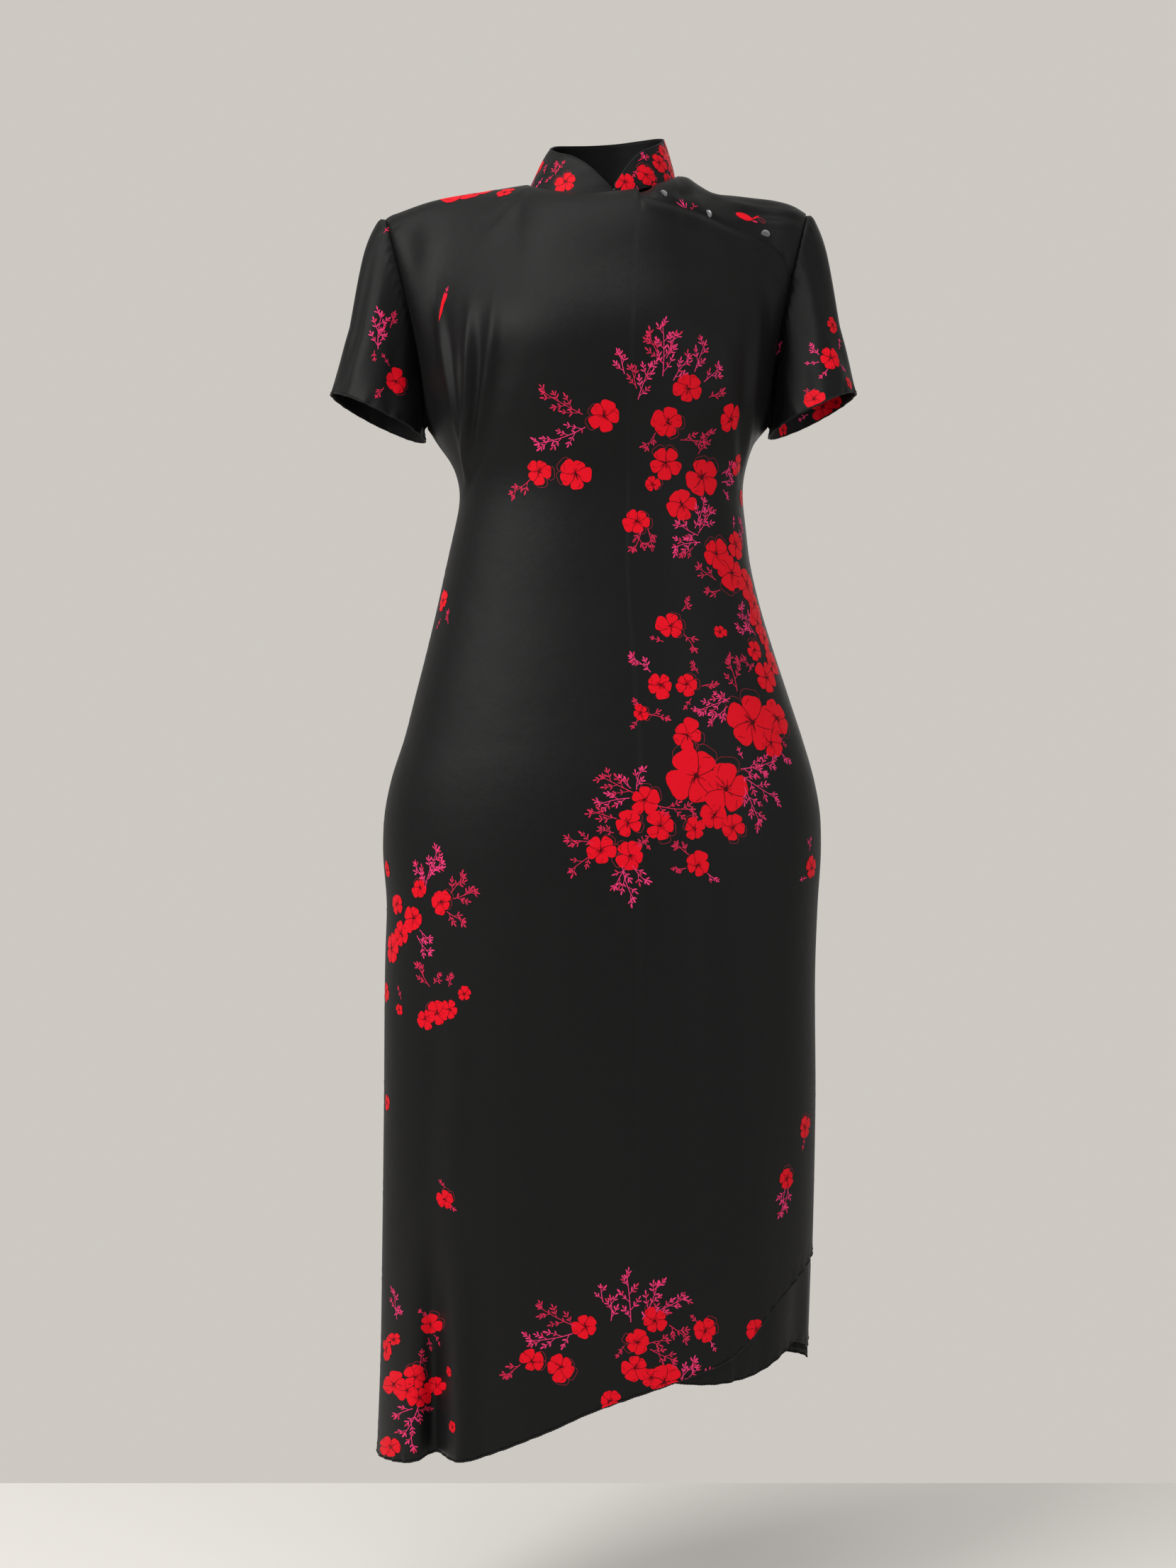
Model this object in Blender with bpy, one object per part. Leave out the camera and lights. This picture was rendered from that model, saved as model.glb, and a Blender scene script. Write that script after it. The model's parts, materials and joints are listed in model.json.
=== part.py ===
"""Short-sleeved cheongsam dress with a stand collar, slanted shoulder opening and curved wrap hem.

Metres, +Z up. The front faces -Y, and +X is the side of the shoulder opening.
The origin is at the middle of the shoulder line, where the wearer holds the dress.
"""
import bpy
import bmesh
import math
import numpy as np
from mathutils import Vector
from mathutils.bvhtree import BVHTree

WALL = 0.0020
GAP = 0.0004
SQUARE = 2.3
ROLL = 2.4
UNDERARM_Z = -0.241

# Rows down the body: height, half width on each side, depth in front and behind.
BODY_COLUMNS = ("z", "left", "right", "front", "back")
BODY = np.array((
    (-0.2410, 0.1785, 0.1680, 0.126, 0.106),
    (-0.2530, 0.1705, 0.1560, 0.123, 0.103),
    (-0.2664, 0.1610, 0.1462, 0.118, 0.100),
    (-0.2820, 0.1470, 0.1405, 0.113, 0.097),
    (-0.2974, 0.1388, 0.1390, 0.109, 0.095),
    (-0.3150, 0.1425, 0.1410, 0.108, 0.094),
    (-0.3348, 0.1476, 0.1440, 0.108, 0.094),
    (-0.3758, 0.1570, 0.1485, 0.110, 0.097),
    (-0.4219, 0.1670, 0.1590, 0.113, 0.102),
    (-0.4673, 0.1778, 0.1728, 0.118, 0.111),
    (-0.5155, 0.1901, 0.1886, 0.124, 0.122),
    (-0.5551, 0.2002, 0.2016, 0.129, 0.131),
    (-0.5976, 0.2138, 0.2138, 0.134, 0.138),
    (-0.6300, 0.2203, 0.2196, 0.136, 0.142),
    (-0.6631, 0.2222, 0.2208, 0.137, 0.143),
    (-0.7243, 0.2184, 0.2174, 0.136, 0.139),
    (-0.7704, 0.2198, 0.2155, 0.134, 0.135),
    (-0.9259, 0.2214, 0.2154, 0.127, 0.126),
    (-1.0706, 0.2232, 0.2124, 0.123, 0.120),
    (-1.1736, 0.2248, 0.2092, 0.122, 0.118),
    (-1.3000, 0.2295, 0.2080, 0.121, 0.116),
))

# Shoulder lines: distance along from the sleeve (0) to the neck (1), height.
SHOULDER_LEFT = np.array((
    (0.00, -0.0285), (0.08, -0.0245), (0.31, -0.0125), (0.74, -0.0028), (1.00, 0.0022),
))
SHOULDER_RIGHT = np.array((
    (0.00, -0.0245), (0.08, -0.0182), (0.22, -0.0122), (0.42, -0.0086), (0.60, -0.0066),
    (0.75, -0.0062), (0.83, 0.0000), (0.91, 0.0095), (1.00, 0.0108),
))
TIP_LEFT = -0.2195
TIP_RIGHT = 0.2060

NECK_HALF = 0.0745
NECK_FRONT = 0.060
NECK_BACK = 0.052
NECK_SHARE = 0.31
COLLAR_TOP_HALF = 0.0580
COLLAR_TOP_FRONT = 0.050
COLLAR_TOP_BACK = 0.043
COLLAR_TOP_X = 0.0045
COLLAR_HEIGHT = 0.041
NOTCH_ANGLE = math.radians(8.5)
COLLAR_TURN_RIGHT = 0.60
COLLAR_TURN_LEFT = 0.88

ARM_BULGE_FRONT = 0.040
ARM_BULGE_BACK = 0.046
BUST_DEPTH = 0.017
BUST_Z = -0.165

# Lower edge of the front panel: place across from left (0) to right (1), height.
FRONT_HEM = np.array((
    (0.00, -1.2690), (0.04, -1.2730), (0.09, -1.2700), (0.16, -1.2640), (0.215, -1.2560),
    (0.26, -1.2520), (0.285, -1.2500), (0.33, -1.2410), (0.38, -1.2290), (0.43, -1.2170),
    (0.48, -1.2035), (0.55, -1.1885), (0.62, -1.1760), (0.68, -1.1655), (0.73, -1.1560),
    (0.765, -1.1430), (0.797, -1.1245), (0.833, -1.1055), (0.868, -1.0924), (0.906, -1.0816),
    (0.940, -1.0755), (1.00, -1.0700),
))
BACK_HEM = np.array(((0.00, -1.2690), (0.35, -1.2460), (0.70, -1.2140), (1.00, -1.1840)))
UNDER_HEM = np.array((
    (0.60, -1.1720), (0.72, -1.1780), (0.80, -1.1730), (0.86, -1.1600), (0.90, -1.1540),
    (0.94, -1.1610), (0.97, -1.1680), (1.00, -1.1640),
))
UNDER_LEFT = 0.60
UNDER_TOP_Z = -1.000

# Slanted shoulder opening: distance across, height of the lapping edge.
OPENING = np.array((
    (0.030, -0.0240), (0.038, -0.0300), (0.059, -0.0377), (0.084, -0.0426), (0.109, -0.0488),
    (0.127, -0.0550), (0.147, -0.0590), (0.160, -0.0650), (0.171, -0.0730), (0.179, -0.0850),
    (0.186, -0.0960), (0.200, -0.1100),
))
OPENING_START_X = 0.036

# Sleeve cuffs: outer and inner corner, half depth, swell of the cap.
CUFFS = {
    "left": {"outer": (-0.2758, -0.2074), "inner": (-0.1800, -0.2520), "half_depth": 0.0625,
             "cap": 0.009},
    "right": {"outer": (0.2572, -0.2066), "inner": (0.1690, -0.2480), "half_depth": 0.0625,
              "cap": 0.008},
}

# Largest folds of the front: upper end, lower end, half width, height outward.
FOLD_COLUMNS = ("x0", "z0", "x1", "z1", "width", "height")
FRONT_FOLDS = (
    (-0.166, -0.135, -0.142, -0.278, 0.009, 0.0050),
    (-0.127, -0.150, -0.133, -0.285, 0.010, 0.0050),
    (-0.102, -0.150, -0.134, -0.290, 0.009, 0.0030),
    (-0.147, -0.165, -0.137, -0.285, 0.009, -0.0040),
    (0.148, -0.150, 0.137, -0.285, 0.010, 0.0040),
    (0.126, -0.170, 0.132, -0.290, 0.011, -0.0030),
)
HEM_FOLD_X = -0.138
HEM_FOLD_START_Z = -0.98
HEM_FOLD_RIDGE = 0.007
HEM_FOLD_TROUGH = 0.024

BUTTON_RADIUS = 0.0045
BUTTON_HEIGHT = 0.0042
BUTTON_GAP = 0.0005
BUTTON_PLACES = ((0.0545, -0.0262), (0.1060, -0.0410), (0.1590, -0.0560))

# Mesh steps.
FRONT_ROWS = 26
YOKE_ROWS = 10
BACK_ROWS = 20

MATERIALS = {
    "black_satin": ((0.012, 0.012, 0.013), 0.42, 0.0),
    "printed_satin": ((0.16, 0.012, 0.022), 0.42, 0.0),
    "clear_glass": ((0.55, 0.57, 0.60), 0.08, 0.0),
}


def material(name, slot):
    colour, rough, metal = MATERIALS[slot]
    mat = bpy.data.materials.new(name)
    mat.use_nodes = True
    shader = mat.node_tree.nodes["Principled BSDF"]
    shader.inputs["Base Color"].default_value = (*colour, 1.0)
    shader.inputs["Roughness"].default_value = rough
    shader.inputs["Metallic"].default_value = metal
    return mat


def curve(rows, column, at):
    """Smooth value of one column of a table whose first column runs one way."""
    keys = rows[:, 0]
    values = rows[:, column]
    if keys[0] > keys[-1]:
        keys = keys[::-1]
        values = values[::-1]
    slopes = np.gradient(values, keys)
    at = min(max(at, keys[0]), keys[-1])
    i = min(max(int(np.searchsorted(keys, at)) - 1, 0), len(keys) - 2)
    h = keys[i + 1] - keys[i]
    t = (at - keys[i]) / h
    a = 2 * t ** 3 - 3 * t ** 2 + 1
    b = t ** 3 - 2 * t ** 2 + t
    c = -2 * t ** 3 + 3 * t ** 2
    d = t ** 3 - t ** 2
    return a * values[i] + b * h * slopes[i] + c * values[i + 1] + d * h * slopes[i + 1]


def smooth(value):
    value = min(max(value, 0.0), 1.0)
    return value * value * (3 - 2 * value)


HALF_RINGS = {}


def half_ring(side, z):
    """Front or back half of the body's section, left to right, with its running length."""
    key = (side, round(z, 5))
    if key not in HALF_RINGS:
        left = curve(BODY, 1, z)
        right = curve(BODY, 2, z)
        depth = curve(BODY, 3 if side == "front" else 4, z)
        sign = -1.0 if side == "front" else 1.0
        angle = np.linspace(math.pi, 0.0, 161)
        c = np.cos(angle)
        s = np.abs(np.sin(angle))
        width = np.where(c > 0, right, left)
        power = 2.0 / SQUARE
        x = width * np.sign(c) * np.abs(c) ** power
        y = sign * depth * s ** power
        y[0] = 0.0
        y[-1] = 0.0
        steps = np.hypot(np.diff(x), np.diff(y))
        run = np.concatenate(((0.0,), np.cumsum(steps)))
        HALF_RINGS[key] = (x, y, run / run[-1], run[-1])
    return HALF_RINGS[key]


def ring_point(side, u, z):
    x, y, share, total = half_ring(side, z)
    return float(np.interp(u, share, x)), float(np.interp(u, share, y))


def neck_ring(angle):
    """Base of the collar; the angle is 0 at the front and grows to the right."""
    c = math.cos(angle)
    s = math.sin(angle)
    depth = NECK_FRONT if c > 0 else NECK_BACK
    height = 0.0065 - 0.0196 * c + 0.0043 * s - 0.0081 * c * c
    return NECK_HALF * s, -depth * c, height


def top_edge(side, u):
    """Upper edge of the front or back: shoulder line, neckline, shoulder line."""
    if u < NECK_SHARE:
        f = u / NECK_SHARE
        return TIP_LEFT + (-NECK_HALF - TIP_LEFT) * f, 0.0, curve(SHOULDER_LEFT, 1, f)
    if u > 1 - NECK_SHARE:
        f = (1 - u) / NECK_SHARE
        return TIP_RIGHT + (NECK_HALF - TIP_RIGHT) * f, 0.0, curve(SHOULDER_RIGHT, 1, f)
    turn = (u - NECK_SHARE) / (1 - 2 * NECK_SHARE)
    if side == "front":
        return neck_ring(-math.pi / 2 + math.pi * turn)
    return neck_ring(-math.pi / 2 - math.pi * turn)


def fold_height(x, z):
    total = 0.0
    for x0, z0, x1, z1, width, height in FRONT_FOLDS:
        f = (z0 - z) / (z0 - z1)
        if -0.15 < f < 1.15:
            away = (x - (x0 + (x1 - x0) * f)) / width
            fade = smooth((f + 0.15) / 0.4) * smooth((1.15 - f) / 0.4)
            total += height * fade * math.exp(-away * away)
    return total


def hem_fold(x, z):
    """Deep soft fold at the lower left: a ridge with a trough on its outer side."""
    grow = smooth((HEM_FOLD_START_Z - z) / 0.26)
    ridge = math.exp(-((x - HEM_FOLD_X) / 0.014) ** 2)
    trough = math.exp(-((x - HEM_FOLD_X + 0.026) / 0.013) ** 2)
    return grow * (HEM_FOLD_RIDGE * ridge - HEM_FOLD_TROUGH * trough)


def body_point(side, u, v):
    """Point of the dress body: v runs 0 to 1 over the chest, below 0 it is a height."""
    if v < 0:
        x, y = ring_point(side, u, v)
        if side == "front":
            push = fold_height(x, v) + hem_fold(x, v)
            y -= push * smooth((0.5 - abs(u - 0.5)) / 0.05)
        return np.array((x, y, v))
    x0, y0 = ring_point(side, u, UNDERARM_Z)
    x1, y1, z1 = top_edge(side, u)
    turn = v * math.pi / 2
    rise = math.sin(turn) ** (2 / ROLL) if v > 0 else 0.0
    drop = math.cos(turn) ** (2 / ROLL) if v < 1 else 0.0
    x = x0 + (x1 - x0) * rise ** 1.5
    y = y1 + (y0 - y1) * drop
    z = UNDERARM_Z + (z1 - UNDERARM_Z) * rise
    edge = min(u, 1 - u)
    swell = math.sin(math.pi * v) ** 0.9 * math.exp(-((edge / 0.10) ** 2))
    if side == "back":
        blade = math.exp(-(((z + 0.12) / 0.07) ** 2)) * smooth(edge / 0.2)
        return np.array((x, y + ARM_BULGE_BACK * swell + 0.008 * blade, z))
    bust = math.exp(-(((z - BUST_Z) / 0.052) ** 2)) * max(0.0, 1 - (x / 0.165) ** 4)
    push = fold_height(x, z) * smooth(edge / 0.05)
    return np.array((x, y - ARM_BULGE_FRONT * swell - BUST_DEPTH * bust - push, z))


def opening_share(u):
    """Share of the chest height at which the lapping edge crosses this column."""
    share = 1.0
    for step in range(400, 0, -1):
        v = step / 400
        x, y, z = body_point("front", u, v)
        if x < OPENING_START_X:
            continue
        if z > curve(OPENING, 1, x):
            share = v
        else:
            break
    return share


def yoke_level(share, top):
    """Chest height of a row; rows close up only towards a low upper edge."""
    if top > 0.99:
        return share
    power = min(3.0, 0.6 * top / (1 - top))
    return share * (1 - (1 - top) * share ** power)


def grid_normals(points, closed):
    rows, cols = points.shape[:2]
    down = np.gradient(points, axis=0)
    if closed:
        across = (np.roll(points, -1, axis=1) - np.roll(points, 1, axis=1)) / 2
    else:
        across = np.gradient(points, axis=1)
    normal = np.cross(across, down)
    size = np.linalg.norm(normal, axis=2, keepdims=True)
    size[size == 0] = 1.0
    return normal / size


def shell(name, points, normals, slot, closed=False, wall=WALL):
    """Closed wall between a grid of outer points and the same grid moved inward."""
    rows, cols = points.shape[:2]
    inner = points - normals * wall
    mesh = bpy.data.meshes.new(name)
    body = bmesh.new()
    outer_verts = [[body.verts.new(p) for p in row] for row in points]
    inner_verts = [[body.verts.new(p) for p in row] for row in inner]
    last = cols if closed else cols - 1
    for i in range(rows - 1):
        for j in range(last):
            k = (j + 1) % cols
            a = outer_verts
            b = inner_verts
            body.faces.new((a[i][j], a[i + 1][j], a[i + 1][k], a[i][k]))
            body.faces.new((b[i][j], b[i][k], b[i + 1][k], b[i + 1][j]))
    for i in (0, rows - 1):
        for j in range(last):
            k = (j + 1) % cols
            body.faces.new((outer_verts[i][j], outer_verts[i][k],
                            inner_verts[i][k], inner_verts[i][j]))
    if not closed:
        for j in (0, cols - 1):
            for i in range(rows - 1):
                body.faces.new((outer_verts[i][j], outer_verts[i + 1][j],
                                inner_verts[i + 1][j], inner_verts[i][j]))
    bmesh.ops.recalc_face_normals(body, faces=body.faces)
    body.to_mesh(mesh)
    body.free()
    mesh.materials.append(material(name, slot))
    thing = bpy.data.objects.new(name, mesh)
    bpy.context.scene.collection.objects.link(thing)
    return thing


def inset(points, closed=False, top=True, sides=True):
    """Draws the seam edges of a grid back by half a seam gap."""
    moved = points.copy()
    if top:
        step = points[1] - points[0]
        length = np.linalg.norm(step, axis=1, keepdims=True)
        moved[0] = points[0] + step / length * (GAP / 2)
    if sides:
        for edge, inside in ((0, 1), (-1, -2)):
            step = points[:, inside] - points[:, edge]
            length = np.linalg.norm(step, axis=1, keepdims=True)
            moved[:, edge] += step / length * (GAP / 2)
    return moved


# Columns of the front and back, closer where the folds and the neckline are.
FRONT_U = np.array((
    0.0, 0.035, 0.07, 0.10, 0.13, 0.155, 0.18, 0.205, 0.23, 0.255, 0.28, 0.31, 0.34, 0.37,
    0.40, 0.43, 0.47, 0.51, 0.535, 0.557, 0.572, 0.60, 0.63, 0.66, 0.69, 0.72, 0.76, 0.80, 0.84,
    0.88, 0.92, 0.96, 1.0,
))
BACK_U = np.array((
    0.0, 0.05, 0.10, 0.155, 0.21, 0.26, 0.31, 0.34, 0.37, 0.40, 0.45, 0.50, 0.55, 0.60,
    0.63, 0.66, 0.69, 0.74, 0.79, 0.845, 0.90, 0.95, 1.0,
))


def front_levels(hem):
    """Shares of the skirt length from the hem (1) to the underarm (0)."""
    fine = [0.0, 0.02, 0.04, 0.06, 0.09, 0.12, 0.16, 0.21, 0.26, 0.31, 0.36, 0.41, 0.46]
    rest = list(np.linspace(0.52, 1.0, FRONT_ROWS - len(fine)))
    return fine + rest


def build_front():
    yoke = [k / YOKE_ROWS for k in range(YOKE_ROWS, 0, -1)]
    tops = [opening_share(u) for u in FRONT_U]
    grid = []
    for share in yoke:
        grid.append([body_point("front", u, yoke_level(share, top))
                     for u, top in zip(FRONT_U, tops)])
    for share in front_levels(FRONT_HEM):
        row = []
        for u in FRONT_U:
            hem = curve(FRONT_HEM, 1, u)
            row.append(body_point("front", u, UNDERARM_Z + (hem - UNDERARM_Z) * share))
        grid.append(row)
    grid = np.array(grid)
    grid = inset(grid)
    normals = -grid_normals(grid, False)
    normals = seam_normals(grid, normals)
    shell("front_panel", grid, normals, "black_satin")
    return tops[-1], yoke


def seam_normals(grid, normals, edges=(0, -1)):
    """Side edges face straight sideways so that the two side seams stay parallel."""
    fixed = normals.copy()
    for edge in edges:
        for i in range(len(grid)):
            if grid[i, edge, 2] < UNDERARM_Z + 0.001:
                slope = fixed[i, edge].copy()
                slope[1] = 0.0
                fixed[i, edge] = slope / np.linalg.norm(slope)
    for j in range(grid.shape[1]):
        if abs(grid[0, j, 1]) < 0.001:
            slope = fixed[0, j].copy()
            slope[1] = 0.0
            fixed[0, j] = slope / np.linalg.norm(slope)
    return fixed


def build_back():
    columns = BACK_U
    yoke = [k / YOKE_ROWS for k in range(YOKE_ROWS, 0, -1)]
    grid = []
    for share in yoke:
        grid.append([body_point("back", u, share) for u in columns])
    shares = [0.0, 0.03, 0.06, 0.10, 0.15, 0.20, 0.26, 0.32, 0.38, 0.44]
    shares += list(np.linspace(0.52, 1.0, BACK_ROWS - len(shares)))
    for share in shares:
        row = []
        for u in columns:
            hem = curve(BACK_HEM, 1, u)
            row.append(body_point("back", u, UNDERARM_Z + (hem - UNDERARM_Z) * share))
        grid.append(row)
    grid = inset(np.array(grid))
    normals = seam_normals(grid, grid_normals(grid, False))
    shell("back_panel", grid, normals, "black_satin")


def build_shoulder_piece():
    columns = FRONT_U[FRONT_U > 0.53]
    grid = []
    for k in range(6):
        row = []
        for u in columns:
            edge = opening_share(u)
            if k == 5:
                point = body_point("front", u, yoke_level(0.9, edge) if edge < 0.99 else 0.8)
                if u > 0.99:
                    point = row[-1] + (point - row[-1]) * 0.4
            elif edge < 0.99:
                point = body_point("front", u, 1.0 + (edge - 1.0) * k / 4)
            else:
                point = body_point("front", u, 1.0)
                point = point + (body_point("front", u, 0.9) - point) * k / 4
            row.append(point)
        grid.append(row)
    grid = inset(np.array(grid), sides=False)
    normals = seam_normals(grid, -grid_normals(grid, False))
    for k in range(6):
        for j, u in enumerate(columns):
            edge = body_point("front", u, opening_share(u))
            above = grid[k, j, 2] - edge[2]
            sunk = 1.0 - smooth((above - 0.001) / 0.012)
            if u < 0.58:
                sunk = 2.1
            grid[k, j] -= normals[k, j] * sunk * (WALL + 0.0010)
    grid[:, -1] += (grid[:, -2] - grid[:, -1]) * 0.03
    shell("shoulder_piece", grid, normals, "black_satin")


def build_under_panel():
    columns = FRONT_U[FRONT_U > UNDER_LEFT - 0.001]
    rows = 8
    grid = []
    for k in range(rows):
        row = []
        for u in columns:
            hem = curve(UNDER_HEM, 1, u)
            z = UNDER_TOP_Z + (hem - UNDER_TOP_Z) * k / (rows - 1)
            row.append(body_point("front", u, z))
        grid.append(row)
    grid = np.array(grid)
    normals = seam_normals(grid, -grid_normals(grid, False), edges=(-1,))
    for k in range(rows):
        for j, u in enumerate(columns):
            wave = 0.004 * math.exp(-(((u - 0.90) / 0.03) ** 2)) * smooth(k / (rows - 1))
            grid[k, j] -= normals[k, j] * (WALL + 0.0011 + wave)
    grid[:, -1, 1] -= 0.0012
    shell("under_panel", grid, normals, "black_satin")


def armhole(side_x, tops):
    """Armhole ring from the shoulder tip down the front, under the arm and up the back."""
    u = 0.0 if side_x < 0 else 1.0
    yoke = [k / YOKE_ROWS for k in range(YOKE_ROWS, 0, -1)]
    if side_x < 0:
        front = yoke
    else:
        upper = [1.0 + (tops - 1.0) * k / 4 for k in range(4)]
        front = upper + [yoke_level(share, tops) for share in yoke]
    ring = [body_point("front", u, v) for v in front]
    ring.append(body_point("front", u, 0.0))
    ring += [body_point("back", u, v) for v in reversed(yoke[1:])]
    return np.array(ring)


def build_sleeve(name, side_x, tops):
    ring = armhole(side_x, tops)
    centre = ring.mean(axis=0)
    cuff = CUFFS["left" if side_x < 0 else "right"]
    outer = np.array((cuff["outer"][0], 0.0, cuff["outer"][1]))
    inner = np.array((cuff["inner"][0], 0.0, cuff["inner"][1]))
    middle = (outer + inner) / 2
    long_half = (outer - inner) / 2
    lengths = np.linalg.norm(np.roll(ring, -1, axis=0) - ring, axis=1)
    bottom = int(np.argmin(ring[:, 2]))
    angles = np.zeros(len(ring))
    front_run = np.concatenate(((0.0,), np.cumsum(lengths[:bottom])))
    angles[:bottom + 1] = math.pi * front_run / front_run[-1]
    back_run = np.concatenate(((0.0,), np.cumsum(lengths[bottom:])))
    angles[bottom:] = math.pi + math.pi * back_run[:-1] / back_run[-1]
    out = np.array((-1.0 if side_x < 0 else 1.0, 0.0, 0.0))
    steps = (0.0, 0.06, 0.16, 0.30, 0.48, 0.66, 0.83, 1.0)
    grid = []
    for f in steps:
        row = []
        for point, angle in zip(ring, angles):
            c = math.cos(angle)
            s = math.sin(angle)
            end = middle + long_half * c + np.array((0.0, -cuff["half_depth"] * s, 0.0))
            p = point + (end - point) * f
            crown = max(0.0, c) ** 0.7 * math.sin(math.pi * min(1.0, f * 1.6) ** 0.55)
            p = p + (out * 0.8 + np.array((0.0, 0.0, 0.35))) * cuff["cap"] * crown
            under = max(0.0, -c) ** 3
            p = p + out * (0.0030 * under * (1 - f)) + out * GAP * 1.5 * (1 - f)
            row.append(p)
        grid.append(row)
    grid = np.array(grid)
    normals = grid_normals(grid, True)
    mid = grid.mean(axis=1, keepdims=True)
    if (normals * (grid - mid)).sum() < 0:
        normals = -normals
    for j, point in enumerate(ring):
        share = max(0.0, math.cos(angles[j]))
        up = np.array((0.0, 0.0, 1.0))
        mix = normals[0, j] * (1 - 0.5 * share) + up * 0.5 * share
        normals[0, j] = mix / np.linalg.norm(mix)
    shell(name, grid, normals, "black_satin", closed=True)


def build_collar():
    grid = []
    start = NOTCH_ANGLE + 0.010
    end = NOTCH_ANGLE + 2 * math.pi - 0.010
    span = 1 - 2 * NECK_SHARE
    front = [math.pi * ((u - NECK_SHARE) / span - 0.5) for u in FRONT_U
             if NECK_SHARE - 0.001 < u < 1.001 - NECK_SHARE]
    back = [math.pi * (1.5 - (u - NECK_SHARE) / span) for u in BACK_U[::-1]
            if NECK_SHARE < u < 1 - NECK_SHARE]
    angles = [start] + [a for a in front if a > start + 0.05] + back
    angles += [a + 2 * math.pi for a in front if a + 2 * math.pi < end - 0.05] + [end]
    levels = (1.0, 0.75, 0.5, 0.25, 0.0)
    for level in levels:
        row = []
        for angle in angles:
            base = np.array(neck_ring(angle))
            c = math.cos(angle)
            s = math.sin(angle)
            depth = COLLAR_TOP_FRONT if c > 0 else COLLAR_TOP_BACK
            top = np.array((COLLAR_TOP_X + COLLAR_TOP_HALF * s, -depth * c, 0.0))
            top[2] = base[2] + COLLAR_HEIGHT - 0.002 * c
            from_right = 1 - min(1.0, (angle - start) / COLLAR_TURN_RIGHT)
            from_left = 1 - min(1.0, (end - angle) / COLLAR_TURN_LEFT)
            rise = min(1.0 - 0.75 * from_right ** 2.4, 1.0 - 0.94 * from_left ** 2.1)
            row.append(base + (top - base) * rise * level + np.array((0, 0, GAP)))
        grid.append(row)
    grid = np.array(grid)
    normals = grid_normals(grid, False)
    mid = grid.mean(axis=(0, 1))
    if (normals[:, :, :2] * (grid - mid)[:, :, :2]).sum() < 0:
        normals = -normals
    for j in range(grid.shape[1]):
        normals[:, j] = normals[2, j]
    shell("collar", grid, normals, "printed_satin", wall=0.0018)


def build_buttons():
    carrier = bpy.data.objects["shoulder_piece"].data
    corners = [v.co.copy() for v in carrier.vertices]
    tree = BVHTree.FromPolygons(corners, [tuple(f.vertices) for f in carrier.polygons])
    for number, (x, z) in enumerate(BUTTON_PLACES, start=1):
        best = None
        for a in range(120):
            u = 0.62 + 0.37 * a / 119
            for b in range(80):
                v = 0.55 + 0.45 * b / 80
                p = body_point("front", u, v)
                miss = math.hypot(p[0] - x, p[2] - z)
                if best is None or miss < best[0]:
                    best = (miss, u, v)
        u, v = best[1:]
        e = 0.002
        p = body_point("front", u, v)
        across = body_point("front", u + e, v) - p
        up = body_point("front", u, min(1.0, v + e)) - p
        normal = np.cross(across, up)
        normal /= np.linalg.norm(normal)
        side = across / np.linalg.norm(across)
        over = np.cross(normal, side)
        hit, facet = tree.ray_cast(Vector(p + normal * 0.01), Vector(-normal))[:2]
        if facet.dot(Vector(normal)) > 0:
            normal = np.array(facet)
        side = side - normal * side.dot(normal)
        side /= np.linalg.norm(side)
        over = np.cross(normal, side)
        base = np.array(hit) + normal * BUTTON_GAP
        body = bmesh.new()
        rings = []
        for radius, height in ((0.70, 0.0), (1.0, 0.18), (0.94, 0.45), (0.55, 1.0)):
            ring = []
            for k in range(8):
                t = 2 * math.pi * (k + 0.5) / 8
                q = base + normal * BUTTON_HEIGHT * height
                q = q + (side * math.cos(t) + over * math.sin(t)) * BUTTON_RADIUS * radius
                ring.append(body.verts.new(q))
            rings.append(ring)
        for low, high in zip(rings, rings[1:]):
            for k in range(8):
                m = (k + 1) % 8
                body.faces.new((low[k], low[m], high[m], high[k]))
        body.faces.new(list(reversed(rings[0])))
        body.faces.new(rings[-1])
        bmesh.ops.recalc_face_normals(body, faces=body.faces)
        name = "button_%d" % number
        mesh = bpy.data.meshes.new(name)
        body.to_mesh(mesh)
        body.free()
        mesh.materials.append(material(name, "clear_glass"))
        thing = bpy.data.objects.new(name, mesh)
        bpy.context.scene.collection.objects.link(thing)


for old in list(bpy.data.objects):
    bpy.data.objects.remove(old, do_unlink=True)

TOP_SHARE, YOKE = build_front()
build_back()
build_shoulder_piece()
build_under_panel()
build_sleeve("sleeve_left", -1.0, TOP_SHARE)
build_sleeve("sleeve_right", 1.0, TOP_SHARE)
build_collar()
build_buttons()
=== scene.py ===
"""Looks of the cheongsam dress: cloth shells with creases, blossom print, hems, buttons.

Metres, +Z up. The front faces -Y, and +X is the side of the shoulder opening.
"""

import json
import math
import random

import bpy
import numpy as np
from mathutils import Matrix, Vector
from mathutils.bvhtree import BVHTree

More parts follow.
